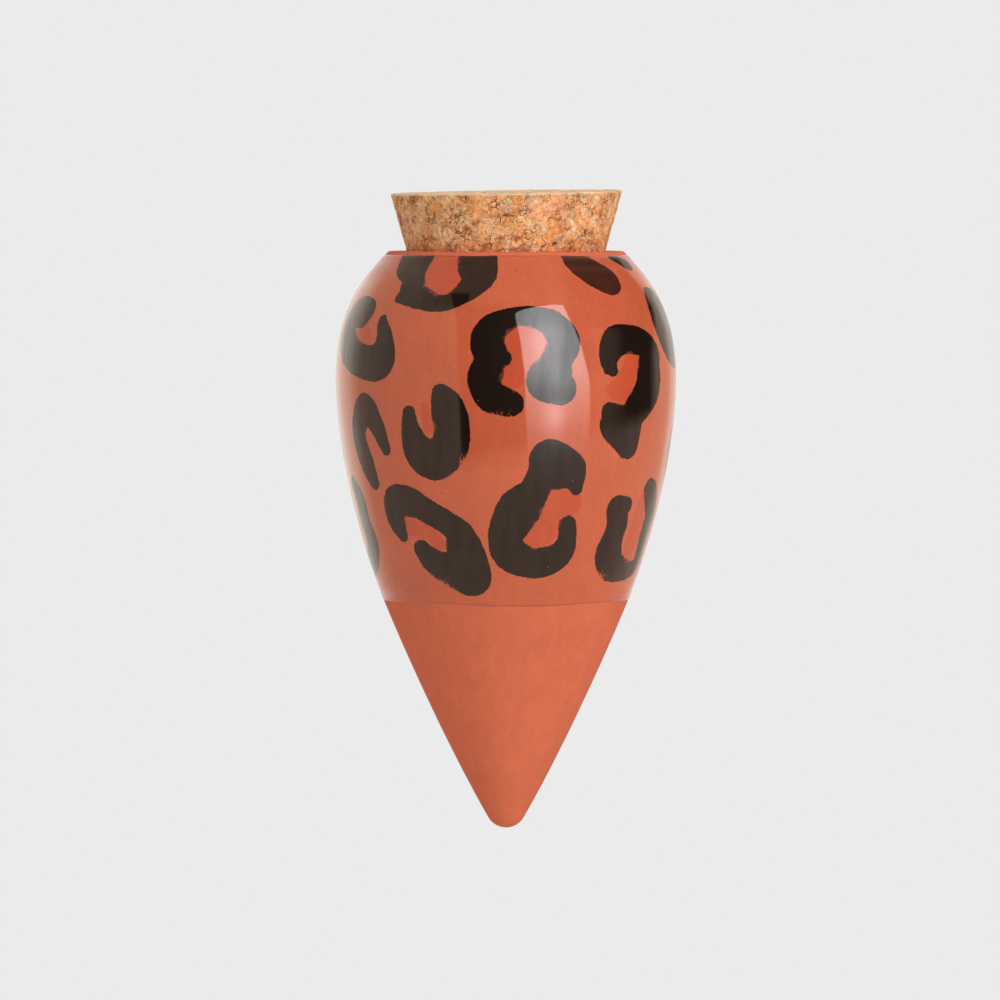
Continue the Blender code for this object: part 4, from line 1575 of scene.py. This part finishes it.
KEY_AZIMUTH = 36.0
KEY_ELEVATION = 29.0
KEY_SIZE = (1.25, 1.45)
FILL_AZIMUTH = -52.0
FILL_ELEVATION = -46.0
FILL_SIZE = (1.4, 1.0)
BACK_AZIMUTH = 190.0
BACK_ELEVATION = 20.0
BACK_SIZE = (1.6, 1.6)
FLOOR_RADIUS = 1.5
FLOOR_FADE_START = 0.2 * FLOOR_RADIUS
FLOOR_FADE_END = 0.95 * FLOOR_RADIUS
FLOOR_SIDES = 96


def studio_object(name, mesh, material):
    """A piece of the studio that isn't part of the object."""
    thing = bpy.data.objects.new(name, mesh)
    bpy.context.scene.collection.objects.link(thing)
    mesh.materials.append(material)
    return thing


def card(name, rows, profile, distance, material, mirror=None, glows=()):
    """A curved card that only reflections see. Without a mirror, its angles are plain ones."""
    knots = np.array(rows)
    steps = np.linspace(0, len(knots) - 1, CARD_ROWS + 1)
    fine_rows = np.column_stack([np.interp(steps, range(len(knots)), column) for column in knots.T])
    points, cover = [], []
    for left_elevation, right_elevation, left, right, row_cover in fine_rows:
        for share in np.linspace(0, 1, CARD_COLUMNS + 1):
            azimuth = left + (right - left) * share
            elevation = left_elevation + (right_elevation - left_elevation) * share
            here = row_cover * np.interp(azimuth, profile.azimuths, profile.cover)
            for glow in glows:
                aside = (azimuth - glow.azimuth) / glow.width
                above = (elevation - glow.elevation) / glow.height
                here += glow.strength * math.exp(-(aside**2) - above**2)
            here *= min(1, (azimuth - left) / profile.fade_left, (right - azimuth) / profile.fade_right)
            if mirror:
                points.append(shown_by_wall(mirror, azimuth, elevation, distance))
            else:
                points.append(STUDIO_CENTRE + towards(azimuth, elevation) * distance)
            cover.append(here)
    width = CARD_COLUMNS + 1
    corners = [row * width + column for row in range(CARD_ROWS) for column in range(CARD_COLUMNS)]
    faces = [(corner, corner + 1, corner + width + 1, corner + width) for corner in corners]
    mesh = bpy.data.meshes.new(name)
    mesh.from_pydata(points, [], faces)
    mesh.attributes.new("cover", "FLOAT", "POINT").data.foreach_set("value", cover)
    thing = studio_object(name, mesh, material)
    thing.visible_camera = False
    thing.visible_diffuse = False
    thing.visible_transmission = False
    thing.visible_volume_scatter = False
    thing.visible_shadow = False


def card_material(name, colour, strength=1.0):
    """A card's glow, which fades where the card covers less."""
    material, wire = empty_material(name)
    glow = wire.node("ShaderNodeEmission", {"Color": with_alpha(colour), "Strength": strength})
    clear = wire.node("ShaderNodeBsdfTransparent")
    wire.end(wire.node("ShaderNodeMixShader", {0: wire.attribute("cover"), 1: clear, 2: glow}))
    return material


def floor_material(studio):
    """A pale floor that keeps the object's shadow, fades into the backdrop and isn't seen from below."""
    material, wire = empty_material("pale_floor")
    level = wire.vector_maths("MULTIPLY", wire.node("ShaderNodeTexCoord", output="Object"), LEVEL)
    away = wire.ramp(wire.vector_maths("LENGTH", level, output="Value"), FLOOR_FADE_START, FLOOR_FADE_END)
    lit = wire.node("ShaderNodeBsdfDiffuse", {"Color": with_alpha(studio.backdrop)})
    glow = wire.node("ShaderNodeEmission", {"Color": with_alpha(studio.backdrop), "Strength": 1.0})
    pale = wire.node("ShaderNodeMixShader", {0: away, 1: lit, 2: glow})
    below = wire.node("ShaderNodeNewGeometry", output="Backfacing")
    clear = wire.node("ShaderNodeBsdfTransparent")
    wire.end(wire.node("ShaderNodeMixShader", {0: below, 1: pale, 2: clear}))
    return material


def soft_lamp(name, azimuth, elevation, size, power):
    """A large soft lamp that lights the object but isn't seen in the glaze."""
    data = bpy.data.lights.new(name, "AREA")
    data.shape = "RECTANGLE"
    data.size, data.size_y = size
    data.energy = power
    lamp = bpy.data.objects.new(name, data)
    bpy.context.scene.collection.objects.link(lamp)
    direction = towards(azimuth, elevation)
    lamp.location = STUDIO_CENTRE + direction * SOFT_BOX_DISTANCE
    lamp.rotation_euler = direction.to_track_quat("Z", "Y").to_euler()
    lamp.visible_glossy = False
    lamp.visible_camera = False
    return lamp


def studio_world(studio):
    """Even light from all sides, with the pale backdrop for what the camera and reflections see."""
    world = bpy.data.worlds.new("pale_studio")
    world.use_nodes = True
    tree = world.node_tree
    tree.nodes.clear()
    wire = Wiring(tree)
    path = tree.nodes.new("ShaderNodeLightPath")
    rays = ("Is Camera Ray", "Is Glossy Ray", "Is Transmission Ray")
    seen = wire.largest(*(path.outputs[ray] for ray in rays))
    colour = wire.blend(seen, with_alpha((studio.ambient,) * 3), with_alpha(studio.backdrop))
    sky = wire.node("ShaderNodeBackground", {"Color": colour, "Strength": 1.0})
    wire.feed(tree.nodes.new("ShaderNodeOutputWorld"), "Surface", sky)
    return world


class OLLA_OT_studio(bpy.types.Operator):
    """Set up the camera, the lights and the pale ground"""

    bl_idname = "olla.studio"
    bl_label = "Studio"

    def execute(self, context):
        studio = context.scene.olla_studio
        context.scene.world = studio_world(studio)
        white, dark = (1.0, 1.0, 1.0), (0.0, 0.0, 0.0)
        eye = Vector((studio.aim_side, -studio.distance, studio.camera_height))
        mirror = wall_mirror(context.scene.olla_vessel_sizes, eye)
        window = card_material("soft_box_glow", white, studio.window)
        soft_box = (SOFT_BOX_ROWS, SOFT_BOX_PROFILE, SOFT_BOX_DISTANCE)
        card("soft_box_face", *soft_box, window, mirror, SOFT_BOX_GLOWS)
        unlit = card_material("dark_card", dark)
        upright = (DARK_UPRIGHT_ROWS, DARK_UPRIGHT_PROFILE, DARK_UPRIGHT_DISTANCE)
        card("dark_card", DARK_CARD_ROWS, DARK_CARD_PROFILE, DARK_CARD_DISTANCE, unlit, mirror)
        card("dark_upright_card", *upright, unlit, mirror)
        card("dark_side_card", DARK_SIDE_ROWS, DARK_SIDE_PROFILE, DARK_SIDE_DISTANCE, unlit, mirror)
        ceiling = card_material("ceiling", studio.ceiling)
        card("ceiling_card", CEILING_ROWS, CEILING_PROFILE, CEILING_DISTANCE, ceiling, mirror)
        rim = card_material("rim", studio.rim_tint, studio.rim)
        card("left_rim_card", LEFT_RIM_ROWS, LEFT_RIM_PROFILE, RIM_DISTANCE, rim, mirror)
        card("right_rim_card", RIGHT_RIM_ROWS, RIGHT_RIM_PROFILE, RIM_DISTANCE, rim, mirror)
        room = card_material("room", studio.room)
        card("room_card", ROOM_ROWS, ROOM_PROFILE, ROOM_DISTANCE, room)
        soft_lamp("key_lamp", KEY_AZIMUTH, KEY_ELEVATION, KEY_SIZE, studio.key)
        fill = soft_lamp("fill_lamp", FILL_AZIMUTH, FILL_ELEVATION, FILL_SIZE, studio.fill)
        fill.data.color = studio.fill_tint
        soft_lamp("back_lamp", BACK_AZIMUTH, BACK_ELEVATION, BACK_SIZE, studio.back)
        disc = bpy.data.meshes.new("studio_floor")
        turns = [FULL_TURN * side / FLOOR_SIDES for side in range(FLOOR_SIDES)]
        corners = [
            (FLOOR_RADIUS * math.cos(turn), FLOOR_RADIUS * math.sin(turn), -studio.floor_depth) for turn in turns
        ]
        disc.from_pydata(corners, [], [tuple(range(FLOOR_SIDES))])
        studio_object("studio_floor", disc, floor_material(studio)).visible_glossy = False
        camera = bpy.data.objects.new("studio_camera", bpy.data.cameras.new("studio_camera"))
        context.scene.collection.objects.link(camera)
        camera.data.lens = studio.focal_length
        camera.data.sensor_width = 36.0
        camera.data.clip_start = 0.1
        camera.data.clip_end = 50.0
        camera.location = eye
        aim = Vector((studio.aim_side, 0.0, studio.aim_height))
        camera.rotation_euler = (aim - camera.location).to_track_quat("-Z", "Y").to_euler()
        context.scene.camera = camera
        context.scene.view_settings.view_transform = "Standard"
        return {"FINISHED"}


class OLLA_PT_panel(bpy.types.Panel):
    """Lists the olla's pieces and their settings"""

    bl_idname = "OLLA_PT_panel"
    bl_label = "Irrigation olla"
    bl_space_type = "VIEW_3D"
    bl_region_type = "UI"
    bl_category = "Olla"

    def draw(self, context):
        for operator, settings in PANEL_ROWS:
            box = self.layout.box()
            box.operator(operator.bl_idname)
            for name in settings:
                group = getattr(context.scene, name)
                for key in group.__annotations__:
                    box.prop(group, key)


GROUPS = {
    "olla_vessel_sizes": VesselSizes,
    "olla_vessel_finish": VesselFinish,
    "olla_cork_sizes": CorkSizes,
    "olla_cork_finish": CorkFinish,
    "olla_studio": StudioSettings,
}
PANEL_ROWS = [
    (OLLA_OT_vessel, ("olla_vessel_sizes", "olla_vessel_finish")),
    (OLLA_OT_cork, ("olla_cork_sizes", "olla_cork_finish")),
    (OLLA_OT_studio, ("olla_studio",)),
]
CLASSES = (*GROUPS.values(), OLLA_OT_vessel, OLLA_OT_cork, OLLA_OT_studio, OLLA_PT_panel)


def register():
    for each in CLASSES:
        bpy.utils.register_class(each)
    for name, group in GROUPS.items():
        setattr(bpy.types.Scene, name, PointerProperty(type=group))


def unregister():
    for name in GROUPS:
        delattr(bpy.types.Scene, name)
    for each in reversed(CLASSES):
        bpy.utils.unregister_class(each)


def main():
    """Makes the olla and its studio."""
    register()
    bpy.ops.olla.vessel()
    bpy.ops.olla.cork()
    bpy.ops.olla.studio()


if __name__ == "__main__":
    main()
